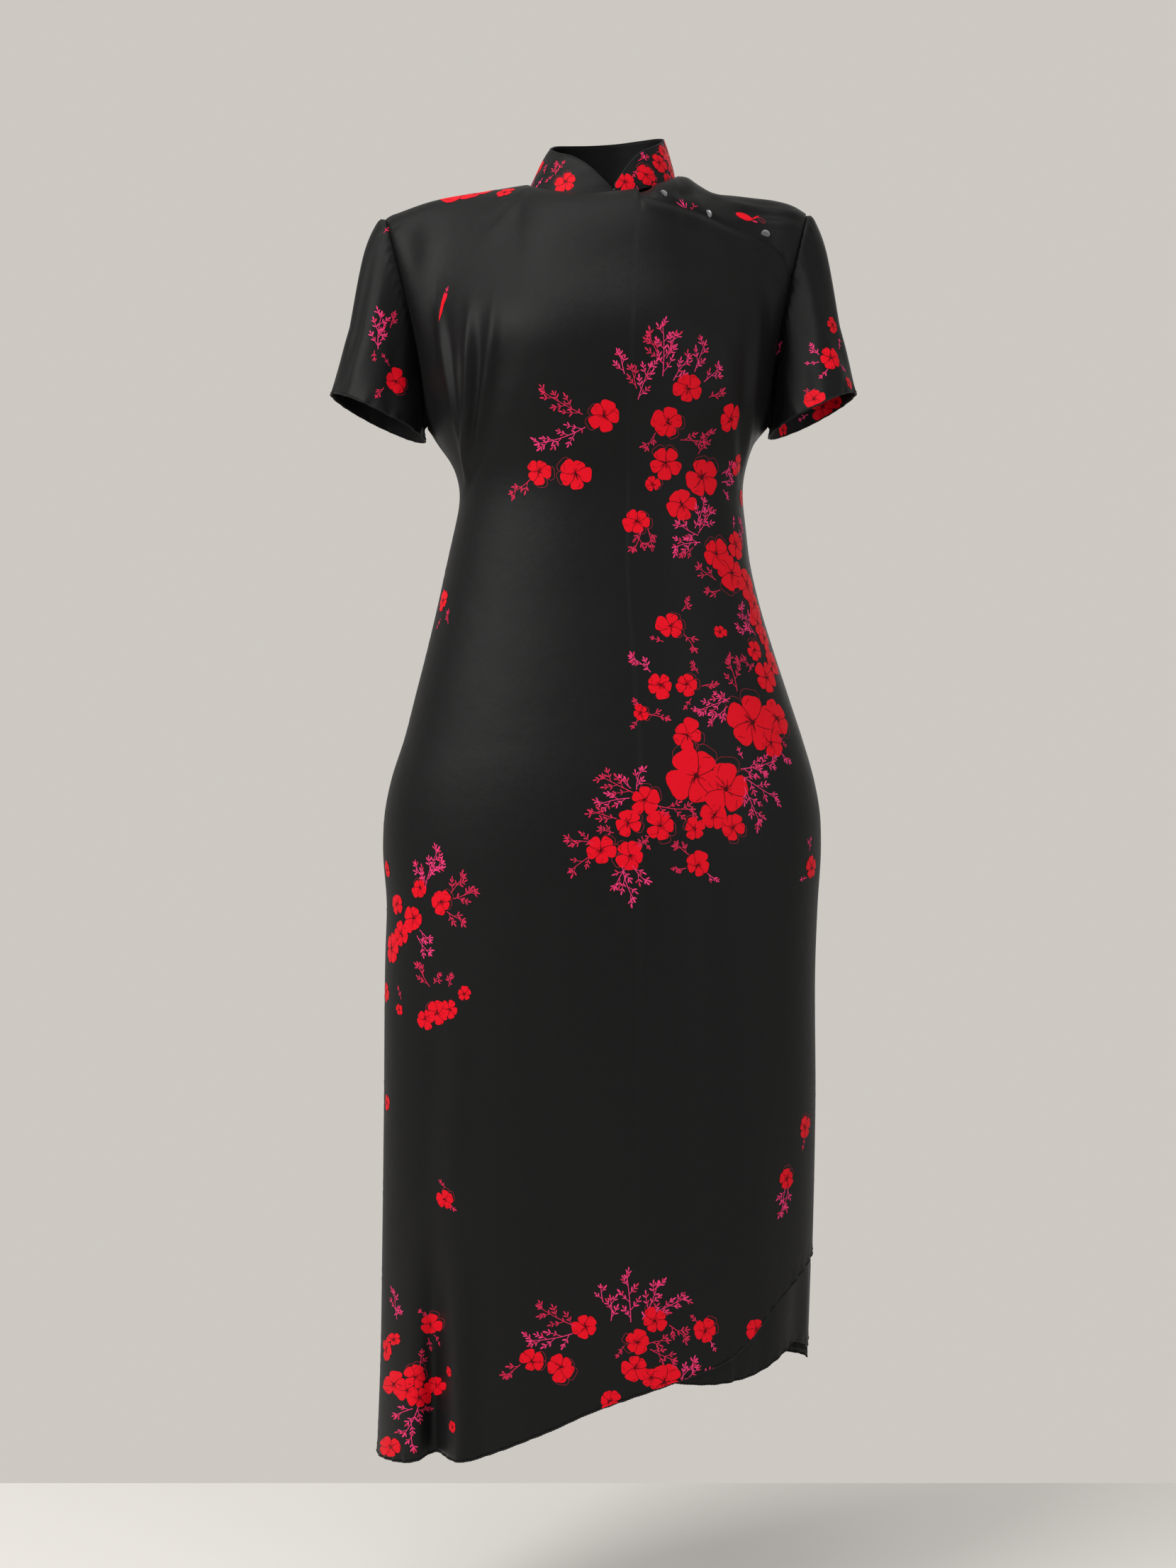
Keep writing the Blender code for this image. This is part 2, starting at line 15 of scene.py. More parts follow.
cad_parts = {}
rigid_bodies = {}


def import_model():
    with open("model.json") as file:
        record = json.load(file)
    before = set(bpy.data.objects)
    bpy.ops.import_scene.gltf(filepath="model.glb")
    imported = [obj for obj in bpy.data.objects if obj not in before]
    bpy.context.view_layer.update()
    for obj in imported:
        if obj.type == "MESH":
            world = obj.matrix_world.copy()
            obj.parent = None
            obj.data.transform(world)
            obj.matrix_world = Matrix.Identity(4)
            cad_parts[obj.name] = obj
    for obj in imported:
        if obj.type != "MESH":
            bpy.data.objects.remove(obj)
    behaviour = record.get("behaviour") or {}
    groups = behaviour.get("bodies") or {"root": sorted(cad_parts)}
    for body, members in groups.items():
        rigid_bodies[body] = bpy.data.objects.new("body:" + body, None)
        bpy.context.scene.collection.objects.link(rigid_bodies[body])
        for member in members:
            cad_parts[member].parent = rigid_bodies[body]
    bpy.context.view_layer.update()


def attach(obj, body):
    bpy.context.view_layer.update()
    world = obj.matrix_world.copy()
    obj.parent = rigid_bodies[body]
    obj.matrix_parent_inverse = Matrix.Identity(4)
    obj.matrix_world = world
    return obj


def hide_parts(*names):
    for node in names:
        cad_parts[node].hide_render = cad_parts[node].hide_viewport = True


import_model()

# Sizes shared with the solids: powers of the body's curve across and up the chest, height of the
# underarm, gap at the seams. The last one is the thickness of the cloth as seen.
SQUARE = 2.3
ROLL = 2.4
UNDERARM_Z = -0.241
SEAM = 0.0004
CLOTH = 0.0009

# Rows down the body: height, half width on each side, depth in front and behind.
BODY = np.array((
    (-0.2410, 0.1785, 0.1680, 0.126, 0.106),
    (-0.2530, 0.1705, 0.1560, 0.123, 0.103),
    (-0.2664, 0.1610, 0.1462, 0.118, 0.100),
    (-0.2820, 0.1470, 0.1405, 0.113, 0.097),
    (-0.2974, 0.1388, 0.1390, 0.109, 0.095),
    (-0.3150, 0.1425, 0.1410, 0.108, 0.094),
    (-0.3348, 0.1476, 0.1440, 0.108, 0.094),
    (-0.3758, 0.1570, 0.1485, 0.110, 0.097),
    (-0.4219, 0.1670, 0.1590, 0.113, 0.102),
    (-0.4673, 0.1778, 0.1728, 0.118, 0.111),
    (-0.5155, 0.1901, 0.1886, 0.124, 0.122),
    (-0.5551, 0.2002, 0.2016, 0.129, 0.131),
    (-0.5976, 0.2138, 0.2138, 0.134, 0.138),
    (-0.6300, 0.2203, 0.2196, 0.136, 0.142),
    (-0.6631, 0.2222, 0.2208, 0.137, 0.143),
    (-0.7243, 0.2184, 0.2174, 0.136, 0.139),
    (-0.7704, 0.2198, 0.2155, 0.134, 0.135),
    (-0.9259, 0.2214, 0.2154, 0.127, 0.126),
    (-1.0706, 0.2232, 0.2124, 0.123, 0.120),
    (-1.1736, 0.2248, 0.2092, 0.122, 0.118),
    (-1.3000, 0.2295, 0.2080, 0.121, 0.116),
))

# Shoulder lines: distance along from the sleeve (0) to the neck (1), height.
SHOULDER_LEFT = np.array((
    (0.00, -0.0285), (0.08, -0.0245), (0.31, -0.0125), (0.74, -0.0028), (1.00, 0.0022),
))
SHOULDER_RIGHT = np.array((
    (0.00, -0.0245), (0.08, -0.0182), (0.22, -0.0122), (0.42, -0.0086), (0.60, -0.0066),
    (0.75, -0.0062), (0.83, 0.0000), (0.91, 0.0095), (1.00, 0.0108),
))
TIP_LEFT = -0.2195
TIP_RIGHT = 0.2060

NECK_HALF = 0.0745
NECK_FRONT = 0.060
NECK_BACK = 0.052
NECK_SHARE = 0.31
# Height of the neckline: middle, dip in front, tilt to the right, extra dip at front and back.
NECK_Z = 0.0065
NECK_DIP = 0.0196
NECK_TILT = 0.0043
NECK_EXTRA_DIP = 0.0081
COLLAR_TOP_HALF = 0.0580
COLLAR_TOP_FRONT = 0.050
COLLAR_TOP_BACK = 0.043
COLLAR_TOP_X = 0.0045
COLLAR_HEIGHT = 0.041
NOTCH_ANGLE = math.radians(8.5)
COLLAR_TURN_RIGHT = 0.60
COLLAR_TURN_LEFT = 0.88

ARM_BULGE_FRONT = 0.040
ARM_BULGE_BACK = 0.046
ARM_BULGE_REACH = 0.10
BLADE_BULGE = 0.008
BLADE_Z = -0.12
BLADE_SPAN = 0.07
BUST_DEPTH = 0.017
BUST_Z = -0.165
BUST_SPAN = 0.052
BUST_HALF = 0.165

# Lower edges: place across from left (0) to right (1), height.
FRONT_HEM = np.array((
    (0.00, -1.2690), (0.04, -1.2730), (0.09, -1.2700), (0.16, -1.2640), (0.215, -1.2560),
    (0.26, -1.2520), (0.285, -1.2500), (0.33, -1.2410), (0.38, -1.2290), (0.43, -1.2170),
    (0.48, -1.2035), (0.55, -1.1885), (0.62, -1.1760), (0.68, -1.1655), (0.73, -1.1560),
    (0.765, -1.1430), (0.797, -1.1245), (0.833, -1.1055), (0.868, -1.0924), (0.906, -1.0816),
    (0.940, -1.0755), (1.00, -1.0700),
))
BACK_HEM = np.array(((0.00, -1.2690), (0.35, -1.2460), (0.70, -1.2140), (1.00, -1.1840)))
UNDER_HEM = np.array((
    (0.60, -1.1720), (0.72, -1.1780), (0.80, -1.1730), (0.86, -1.1600), (0.90, -1.1540),
    (0.94, -1.1610), (0.97, -1.1680), (1.00, -1.1640),
))
UNDER_LEFT = 0.60
UNDER_TOP_Z = -1.000

# Slanted shoulder opening: distance across, height of the lapping edge.
OPENING = np.array((
    (0.030, -0.0240), (0.038, -0.0300), (0.059, -0.0377), (0.084, -0.0426), (0.109, -0.0488),
    (0.127, -0.0550), (0.147, -0.0590), (0.160, -0.0650), (0.171, -0.0730), (0.179, -0.0850),
    (0.186, -0.0960), (0.200, -0.1100),
))
OPENING_START_X = 0.036

# Sleeve cuffs: outer and inner corner, half depth, swell of the cap.
CUFFS = {
    "left": {"outer": (-0.2758, -0.2074), "inner": (-0.1800, -0.2520), "half_depth": 0.0625,
             "cap": 0.009},
    "right": {"outer": (0.2572, -0.2066), "inner": (0.1690, -0.2480), "half_depth": 0.0625,
              "cap": 0.008},
}

# Fold of the hem: place across, start, the height over which it grows, ridge and trough.
HEM_FOLD_X = -0.138
HEM_FOLD_START_Z = -0.98
HEM_FOLD_GROWTH = 0.26
HEM_FOLD_RIDGE = 0.007
HEM_FOLD_RIDGE_WIDTH = 0.014
HEM_FOLD_TROUGH = 0.024
HEM_FOLD_TROUGH_WIDTH = 0.013
HEM_FOLD_TROUGH_AWAY = 0.026

# Creases of the front: upper end, lower end, sideways bow, half width at each end, height.
FRONT_CREASES = (
    (-0.1631, -0.134, -0.1350, -0.293, 0.000, 0.0050, 0.0028, 0.0046),
    (-0.1535, -0.145, -0.1352, -0.291, -0.001, 0.0058, 0.0030, -0.0028),
    (-0.1430, -0.180, -0.1350, -0.293, 0.001, 0.0040, 0.0026, 0.0034),
    (-0.1292, -0.140, -0.1342, -0.294, 0.001, 0.0048, 0.0028, 0.0056),
    (-0.1195, -0.148, -0.1330, -0.297, 0.004, 0.0060, 0.0032, -0.0036),
    (-0.1040, -0.134, -0.1345, -0.301, 0.0065, 0.0054, 0.0030, 0.0046),
    (-0.0900, -0.165, -0.1320, -0.306, 0.0075, 0.0110, 0.0050, -0.0022),
    (0.1520, -0.120, 0.1390, -0.288, 0.002, 0.0070, 0.0040, 0.0034),
    (0.1400, -0.140, 0.1360, -0.296, 0.001, 0.0070, 0.0040, -0.0026),
    (0.1180, -0.150, 0.1320, -0.303, -0.003, 0.0090, 0.0050, 0.0022),
    (0.0950, -0.620, 0.1080, -1.120, 0.003, 0.0160, 0.0220, -0.0026),
    (0.1400, -0.700, 0.1480, -1.100, 0.002, 0.0180, 0.0200, 0.0022),
    (-0.1380, -0.780, -0.1480, -1.010, 0.002, 0.0140, 0.0120, 0.0022),
    (-0.1620, -0.800, -0.1740, -1.010, 0.001, 0.0130, 0.0120, -0.0026),
    (-0.0300, -0.900, -0.0450, -1.230, 0.004, 0.0300, 0.0260, -0.0022),
    (0.0250, -0.800, 0.0300, -1.190, -0.003, 0.0300, 0.0260, 0.0018),
    (0.0500, -0.360, 0.0350, -0.560, 0.003, 0.0180, 0.0220, -0.0010),
    (-0.1100, -0.905, 0.0500, -0.885, 0.000, 0.0080, 0.0080, -0.0007),
    (-0.1790, -0.034, -0.1740, -0.098, 0.000, 0.0090, 0.0110, -0.0006),
    (-0.0760, -0.012, -0.1080, -0.042, 0.001, 0.0040, 0.0085, 0.0014),
    (-0.0780, -0.022, -0.1120, -0.068, 0.000, 0.0040, 0.0090, 0.0012),
    (-0.0770, -0.017, -0.1100, -0.054, 0.000, 0.0030, 0.0070, -0.0010),
)

# Creases of the back, in the same columns.
BACK_CREASES = (
    (-0.1300, -0.150, -0.1320, -0.300, 0.003, 0.0120, 0.0060, 0.0040),
    (-0.1050, -0.190, -0.1300, -0.315, 0.005, 0.0090, 0.0060, -0.0034),
    (0.1280, -0.140, 0.1330, -0.300, -0.003, 0.0120, 0.0060, 0.0042),
    (0.1000, -0.180, 0.1300, -0.312, -0.005, 0.0100, 0.0060, -0.0030),
    (-0.0900, -0.330, 0.0400, -0.345, 0.000, 0.0070, 0.0070, 0.0022),
    (-0.0400, -0.362, 0.1000, -0.350, 0.000, 0.0070, 0.0080, -0.0020),
    (-0.1000, -0.392, 0.0200, -0.385, 0.000, 0.0090, 0.0080, 0.0016),
    (-0.0700, -0.760, -0.0900, -1.220, 0.004, 0.0240, 0.0260, -0.0040),
    (0.0100, -0.800, 0.0150, -1.220, -0.003, 0.0260, 0.0260, 0.0034),
    (0.0950, -0.740, 0.1150, -1.180, 0.002, 0.0220, 0.0240, -0.0036),
    (0.1500, -0.800, 0.1600, -1.180, 0.002, 0.0160, 0.0200, 0.0028),
    (-0.1500, -0.820, -0.1620, -1.240, 0.003, 0.0180, 0.0200, 0.0030),
)

# Soft folds of a sleeve: turn from the top in degrees, start and end along it, width, height.
SLEEVE_FOLDS = {
    "left": (
        (18, 0.00, 0.85, 13, 0.0026), (42, 0.05, 1.00, 10, -0.0022), (66, 0.10, 0.95, 13, 0.0024),
        (105, 0.20, 1.00, 12, -0.0022), (-25, 0.00, 0.80, 14, 0.0024), (-60, 0.05, 0.95, 14, -0.0022),
        (-100, 0.10, 1.00, 16, 0.0022), (140, 0.10, 1.00, 12, 0.0020),
    ),
    "right": (
        (12, 0.00, 0.90, 12, 0.0024), (38, 0.00, 0.75, 11, -0.0024), (60, 0.10, 1.00, 12, 0.0024),
        (92, 0.20, 1.00, 13, -0.0022), (-30, 0.00, 0.85, 14, 0.0022), (-66, 0.05, 0.95, 14, -0.0024),
        (-105, 0.10, 1.00, 16, 0.0020), (135, 0.10, 1.00, 12, 0.0020),
    ),
}

# Camera as the photograph has it: level, in front of the dress; the photograph's frame is 1659 by
# 2212, and the last two are its middle and the metres to a pixel at the side seams.
CAMERA_X = -0.01476
CAMERA_Z = -0.602
CAMERA_DISTANCE = 1.90
CAMERA_LENS = 42.9
PHOTO_MIDDLE = (829.5, 1106)
PX = 0.00072

FLOOR_Z = -1.47


def curve(rows, column, at):
    """Smooth values of one column of a table, at many places."""
    keys = rows[:, 0]
    values = rows[:, column]
    if keys[0] > keys[-1]:
        keys = keys[::-1]
        values = values[::-1]
    slopes = np.gradient(values, keys)
    at = np.clip(at, keys[0], keys[-1])
    i = np.clip(np.searchsorted(keys, at) - 1, 0, len(keys) - 2)
    h = keys[i + 1] - keys[i]
    t = (at - keys[i]) / h
    a = 2 * t ** 3 - 3 * t ** 2 + 1
    b = t ** 3 - 2 * t ** 2 + t
    c = -2 * t ** 3 + 3 * t ** 2
    d = t ** 3 - t ** 2
    return a * values[i] + b * h * slopes[i] + c * values[i + 1] + d * h * slopes[i + 1]


def smooth(value):
    value = np.clip(value, 0.0, 1.0)
    return value * value * (3 - 2 * value)


def bell(value):
    return np.exp(-value ** 2)


def ripple(run, pitch, phase=0.0):
    return np.sin(run / pitch * 2 * math.pi + phase)


def unit(vectors):
    return vectors / np.linalg.norm(vectors, axis=-1, keepdims=True)


def path_run(path):
    """Distance of each point along a path."""
    return np.concatenate(((0.0,), np.cumsum(np.linalg.norm(np.diff(path, axis=0), axis=1))))


# Sections of the body, worked out once on a grid of heights and shares across.
LOWEST_Z = -1.31
LEVELS = np.linspace(LOWEST_Z, UNDERARM_Z, 420)
SHARES = np.linspace(0.0, 1.0, 401)
ARC_STEPS = 321


def section_table(side):
    left = curve(BODY, 1, LEVELS)
    right = curve(BODY, 2, LEVELS)
    depth = curve(BODY, 3 if side == "front" else 4, LEVELS)
    sign = -1.0 if side == "front" else 1.0
    angle = np.linspace(math.pi, 0.0, ARC_STEPS)
    c = np.cos(angle)
    across = np.sign(c) * np.abs(c) ** (2.0 / SQUARE)
    deep = np.abs(np.sin(angle)) ** (2.0 / SQUARE)
    deep[[0, -1]] = 0.0
    table = np.zeros((2, len(LEVELS), len(SHARES)))
    for k in range(len(LEVELS)):
        x = np.where(c > 0, right[k], left[k]) * across
        y = sign * depth[k] * deep
        run = np.concatenate(((0.0,), np.cumsum(np.hypot(np.diff(x), np.diff(y)))))
        table[0, k] = np.interp(SHARES, run / run[-1], x)
        table[1, k] = np.interp(SHARES, run / run[-1], y)
    return table


SECTIONS = {side: section_table(side) for side in ("front", "back")}


def sample(table, rows, cols):
    """Values of a grid at fractional row and column numbers."""
    i = np.clip(np.floor(rows).astype(int), 0, table.shape[0] - 2)
    j = np.clip(np.floor(cols).astype(int), 0, table.shape[1] - 2)
    f = np.clip(rows - i, 0.0, 1.0)
    g = np.clip(cols - j, 0.0, 1.0)
    if table.ndim == 3:
        f = f[..., None]
        g = g[..., None]
    upper = table[i, j] * (1 - g) + table[i, j + 1] * g
    lower = table[i + 1, j] * (1 - g) + table[i + 1, j + 1] * g
    return upper * (1 - f) + lower * f


def section_point(side, u, z):
    rows = (z - LEVELS[0]) / (LEVELS[1] - LEVELS[0])
    cols = u / (SHARES[1] - SHARES[0])
    xs, ys = SECTIONS[side]
    return sample(xs, rows, cols), sample(ys, rows, cols)


def neck_ring(angle):
    """Base of the collar; the angle is 0 at the front and grows to the right."""
    c = np.cos(angle)
    s = np.sin(angle)
    depth = np.where(c > 0, NECK_FRONT, NECK_BACK)
    height = NECK_Z - NECK_DIP * c + NECK_TILT * s - NECK_EXTRA_DIP * c * c
    return np.stack((NECK_HALF * s, -depth * c, height), axis=-1)


def top_edge(side, u):
    """Upper edge of the front or back: shoulder line, neckline, shoulder line."""
    sign = 1.0 if side == "front" else -1.0
    turn = np.clip((u - NECK_SHARE) / (1 - 2 * NECK_SHARE), 0.0, 1.0)
    edge = neck_ring(sign * (-math.pi / 2 + math.pi * turn) + (0 if sign > 0 else -math.pi))
    if side == "back":
        edge[..., 0] = NECK_HALF * np.sin(-math.pi / 2 + math.pi * turn)
    left = np.clip(u / NECK_SHARE, 0.0, 1.0)
    right = np.clip((1 - u) / NECK_SHARE, 0.0, 1.0)
    on_left = u < NECK_SHARE
    on_right = u > 1 - NECK_SHARE
    edge[..., 0] = np.where(on_left, TIP_LEFT + (-NECK_HALF - TIP_LEFT) * left, edge[..., 0])
    edge[..., 0] = np.where(on_right, TIP_RIGHT + (NECK_HALF - TIP_RIGHT) * right, edge[..., 0])
    edge[..., 1] = np.where(on_left | on_right, 0.0, edge[..., 1])
    edge[..., 2] = np.where(on_left, curve(SHOULDER_LEFT, 1, left), edge[..., 2])
    edge[..., 2] = np.where(on_right, curve(SHOULDER_RIGHT, 1, right), edge[..., 2])
    return edge


EDGE_STEPS = 800
CORNER_REACH = 28
CORNER_SPREAD = 13.0


def softened_top(side):
    """The upper edge with its corners at the neck rounded, for the rows below the seam."""
    edge = top_edge(side, np.linspace(0.0, 1.0, EDGE_STEPS + 1))
    weights = bell(np.arange(-CORNER_REACH, CORNER_REACH + 1) / CORNER_SPREAD)
    weights /= weights.sum()
    first = 2 * edge[0] - edge[CORNER_REACH:0:-1]
    last = 2 * edge[-1] - edge[-2:-CORNER_REACH - 2:-1]
    padded = np.concatenate((first, edge, last))
    return np.stack([np.convolve(padded[:, k], weights, mode="valid") for k in range(3)], axis=-1)


SOFT_TOPS = {side: softened_top(side) for side in ("front", "back")}


def bust_swell(x, z):
    return bell((z - BUST_Z) / BUST_SPAN) * np.maximum(0.0, 1 - (x / BUST_HALF) ** 4)


def body_point(side, u, v):
    """Points of the dress body: v runs 0 to 1 over the chest, below 0 it is a height."""
    u = np.asarray(u, dtype=float)
    v = np.asarray(v, dtype=float)
    below = np.minimum(v, UNDERARM_Z)
    x0, y0 = section_point(side, u, np.where(v < 0, below, UNDERARM_Z))
    chest = np.clip(v, 0.0, 1.0)
    exact = top_edge(side, u)
    soft = sample(SOFT_TOPS[side][None].repeat(2, axis=0), np.zeros_like(u), u * EDGE_STEPS)
    top = soft + (exact - soft) * (chest ** 7)[..., None]
    turn = chest * math.pi / 2
    rise = np.sin(turn) ** (2 / ROLL)
    drop = np.cos(turn) ** (2 / ROLL)
    x = x0 + (top[..., 0] - x0) * rise ** 1.5
    y = top[..., 1] + (y0 - top[..., 1]) * drop
    z = UNDERARM_Z + (top[..., 2] - UNDERARM_Z) * rise
    edge = np.minimum(u, 1 - u)
    swell = np.sin(math.pi * chest) ** 0.9 * bell(edge / ARM_BULGE_REACH)
    if side == "back":
        blade = bell((z - BLADE_Z) / BLADE_SPAN) * smooth(edge / 0.2)
        y = y + ARM_BULGE_BACK * swell + BLADE_BULGE * blade * smooth(chest / 0.2)
    else:
        y = y - ARM_BULGE_FRONT * swell - BUST_DEPTH * bust_swell(x, z)
        y0 = y0 - BUST_DEPTH * bust_swell(x0, below)
    chesty = v >= 0
    return np.stack((np.where(chesty, x, x0), np.where(chesty, y, y0),
                     np.where(chesty, z, below)), axis=-1)


def crease_height(rows, x, z):
    """Height of the creases of a table at places of a panel seen from the front."""
    total = np.zeros_like(x)
    for x0, z0, x1, z1, bow, width0, width1, height in rows:
        length = math.hypot(x1 - x0, z1 - z0)
        dx = (x1 - x0) / length
        dz = (z1 - z0) / length
        along = ((x - x0) * dx + (z - z0) * dz) / length
        away = (x - x0) * -dz + (z - z0) * dx
        bend = bow * 4 * along * (1 - along)
        width = width0 + (width1 - width0) * np.clip(along, 0, 1)
        fade = smooth((along + 0.12) / 0.45) * smooth((1.12 - along) / 0.35)
        total += height * fade * bell((away - bend) / width)
    return total


def hem_fold(x, z):
    """Deep soft fold at the lower left: a ridge with a trough on its outer side."""
    grow = smooth((HEM_FOLD_START_Z - z) / HEM_FOLD_GROWTH)
    ridge = bell((x - HEM_FOLD_X) / HEM_FOLD_RIDGE_WIDTH)
    trough = bell((x - HEM_FOLD_X + HEM_FOLD_TROUGH_AWAY) / HEM_FOLD_TROUGH_WIDTH)
    return grow * (HEM_FOLD_RIDGE * ridge - HEM_FOLD_TROUGH * trough)


SCAN_STEPS = 400
OUTSIDE = -1.0


def opening_share(u):
    """Share of the chest height at which the lapping edge crosses each column."""
    steps = np.linspace(0.0, 1.0, SCAN_STEPS + 1)
    points = body_point("front", *np.meshgrid(u, steps))
    over = points[..., 2] - curve(OPENING, 1, points[..., 0])
    over = np.where(points[..., 0] >= OPENING_START_X, over, OUTSIDE)
    shares = np.ones(len(u))
    for j in range(len(u)):
        run = SCAN_STEPS
        while run > 0 and over[run, j] > 0:
            run -= 1
        if run < SCAN_STEPS:
            below, above = over[run:run + 2, j]
            part = -below / (above - below) if below > OUTSIDE + 0.1 else 1.0
            shares[j] = steps[run] + (steps[1] - steps[0]) * part
    return shares


def yoke_level(share, top):
    """Chest height of a row; rows close up only towards a low upper edge."""
    top = np.asarray(top, dtype=float)
    power = np.minimum(3.0, 0.6 * top / np.maximum(1 - top, 1e-6))
    return np.where(top > 0.995, share, share * (1 - (1 - top) * share ** power))


def grid_normals(points, closed=False):
    down = np.gradient(points, axis=0)
    if closed:
        across = (np.roll(points, -1, axis=1) - np.roll(points, 1, axis=1)) / 2
    else:
        across = np.gradient(points, axis=1)
    normal = np.cross(across, down)
    size = np.linalg.norm(normal, axis=2, keepdims=True)
    size[size == 0] = 1.0
    return normal / size


def run_lengths(points):
    """Distance along the rows and down the columns of a grid, in metres."""
    across = np.linalg.norm(np.diff(points, axis=1), axis=2)
    down = np.linalg.norm(np.diff(points, axis=0), axis=2)
    s = np.concatenate((np.zeros((len(points), 1)), np.cumsum(across, axis=1)), axis=1)
    t = np.concatenate((np.zeros((1, points.shape[1])), np.cumsum(down, axis=0)), axis=0)
    return s, t


def add_mesh(name, verts, faces, mats, kinds=None, flat=None, soft=True):
    """New object in the scene; flat holds the place of each vertex on the unrolled cloth."""
    mesh = bpy.data.meshes.new(name)
    mesh.from_pydata(verts, [], faces)
    if flat is not None:
        corners = np.zeros(len(mesh.loops), dtype=np.int32)
        mesh.loops.foreach_get("vertex_index", corners)
        mesh.uv_layers.new(name="cloth").data.foreach_set("uv", flat[corners].ravel())
    for mat in mats:
        mesh.materials.append(mat)
    if kinds is not None:
        mesh.polygons.foreach_set("material_index", kinds)
    if soft:
        mesh.polygons.foreach_set("use_smooth", np.ones(len(mesh.polygons), bool))
    mesh.update()
    return linked(bpy.data.objects.new(name, mesh))


def linked(thing):
    bpy.context.scene.collection.objects.link(thing)
    return thing


def cloth(name, points, normals, wall=CLOTH, closed=False):
    """Closed thin wall: the outer grid, the same grid moved inward, and the edges."""
    rows, cols = points.shape[:2]
    inner = points - normals * wall
    count = rows * cols
    verts = np.concatenate((points.reshape(-1, 3), inner.reshape(-1, 3)))
    last = cols if closed else cols - 1
    i, j = np.meshgrid(np.arange(rows - 1), np.arange(last), indexing="ij")
    k = (j + 1) % cols
    a = (i * cols + j).ravel()
    b = ((i + 1) * cols + j).ravel()
    c = ((i + 1) * cols + k).ravel()
    d = (i * cols + k).ravel()
    j = np.arange(last)
    k = (j + 1) % cols
    base = (rows - 1) * cols
    faces = [(a, b, c, d), (a + count, d + count, c + count, b + count),
             (j, k, k + count, j + count),
             (j + base, j + base + count, k + base + count, k + base)]
    if not closed:
        i = np.arange(rows - 1) * cols
        faces.append((i, i + count, i + cols + count, i + cols))
        i = i + cols - 1
        faces.append((i, i + cols, i + cols + count, i + count))
    faces = [np.stack(corners, axis=1) for corners in faces]
    kinds = np.concatenate([np.full(len(part), int(number == 1)) for number, part in enumerate(faces)])
    faces = np.concatenate(faces)
    facing = np.cross(points[1, 1] - points[0, 0], points[0, 1] - points[1, 0])
    if facing.dot(normals[0, 0]) > 0:
        faces = faces[:, ::-1]
    s, t = run_lengths(points)
    flat = np.stack((s.ravel(), t.ravel()), axis=1)
    return add_mesh(name, verts.tolist(), faces.tolist(), (BLACK, LINING), kinds,
                    np.concatenate((flat, flat)))


TUBE_SIDES = 8
STITCH = 0.0034


def tube(name, path, radius, mat, wobble, pitch=STITCH, closed=False, seed=1):
    """Rolled edge along a path, with slight lumps at the pitch of its stitches."""
    if closed:
        step = np.roll(path, -1, axis=0) - np.roll(path, 1, axis=0)
    else:
        step = np.gradient(path, axis=0)
    step = unit(step)
    guide = np.array((0.0, 0.0, 1.0)) * np.ones_like(step)
    guide[np.abs(step[:, 2]) > 0.8] = (0.0, 1.0, 0.0)
    side = unit(np.cross(step, guide))
    over = np.cross(side, step)
    run = path_run(path)
    swell = 1 + wobble * ripple(run, pitch, random.Random(seed).random() * 6)
    swell = swell * (1 + 0.5 * wobble * ripple(run, pitch * 3.7))
    angle = np.linspace(0, 2 * math.pi, TUBE_SIDES, endpoint=False)
    ring = side[:, None] * np.cos(angle)[None, :, None] + over[:, None] * np.sin(angle)[None, :, None]
    verts = path[:, None] + ring * (radius * swell)[:, None, None]
    count = len(path)
    faces = []
    for i in range(count if closed else count - 1):
        a = i * TUBE_SIDES
        b = ((i + 1) % count) * TUBE_SIDES
        for k in range(TUBE_SIDES):
            m = (k + 1) % TUBE_SIDES
            faces.append((a + k, a + m, b + m, b + k))
    if not closed:
        faces.append(tuple(reversed(range(TUBE_SIDES))))
        faces.append(tuple(range((count - 1) * TUBE_SIDES, count * TUBE_SIDES)))
    return add_mesh(name, verts.reshape(-1, 3).tolist(), faces, (mat,))


def resample(path, step, closed=False):
    """The same path with evenly spaced points."""
    if closed:
        path = np.concatenate((path, path[:1]))
    run = path_run(path)
    count = max(4, int(round(run[-1] / step)))
    at = np.linspace(0.0, run[-1], count + 1)
    if closed:
        at = at[:-1]
    return np.stack([np.interp(at, run, path[:, k]) for k in range(3)], axis=1)


# Materials of cloth, thread, print and glass.
def nodes_of(mat):
    mat.use_nodes = True
    tree = mat.node_tree
    return tree, tree.nodes["Principled BSDF"]


def add(tree, kind, **inputs):
    """New node with values for its inputs; an underscore stands for a space in their names."""
    node = tree.nodes.new(kind)
    for key, value in inputs.items():
        node.inputs[key.replace("_", " ")].default_value = value
    return node


def wire(source, output, target, into):
    source.id_data.links.new(source.outputs[output], target.inputs[into])


def ramp_of(tree, source, dark, light, ends=(0.0, 1.0)):
    ramp = tree.nodes.new("ShaderNodeValToRGB")
    for element, colour, place in zip(ramp.color_ramp.elements, (dark, light), ends):
        element.color = (*colour, 1)
        element.position = place
    wire(source, "Fac", ramp, "Fac")
    return ramp


def rough_range(tree, source, shader, low, high):
    span = add(tree, "ShaderNodeMapRange", To_Min=low, To_Max=high)
    wire(source, "Fac", span, "Value")
    wire(span, "Result", shader, "Roughness")


def bands(tree, flat, direction, **inputs):
    wave = add(tree, "ShaderNodeTexWave", **inputs)
    wave.wave_type = "BANDS"
    wave.bands_direction = direction
    wire(flat, "UV", wave, "Vector")
    return wave


RIB_SCALE = 260.0


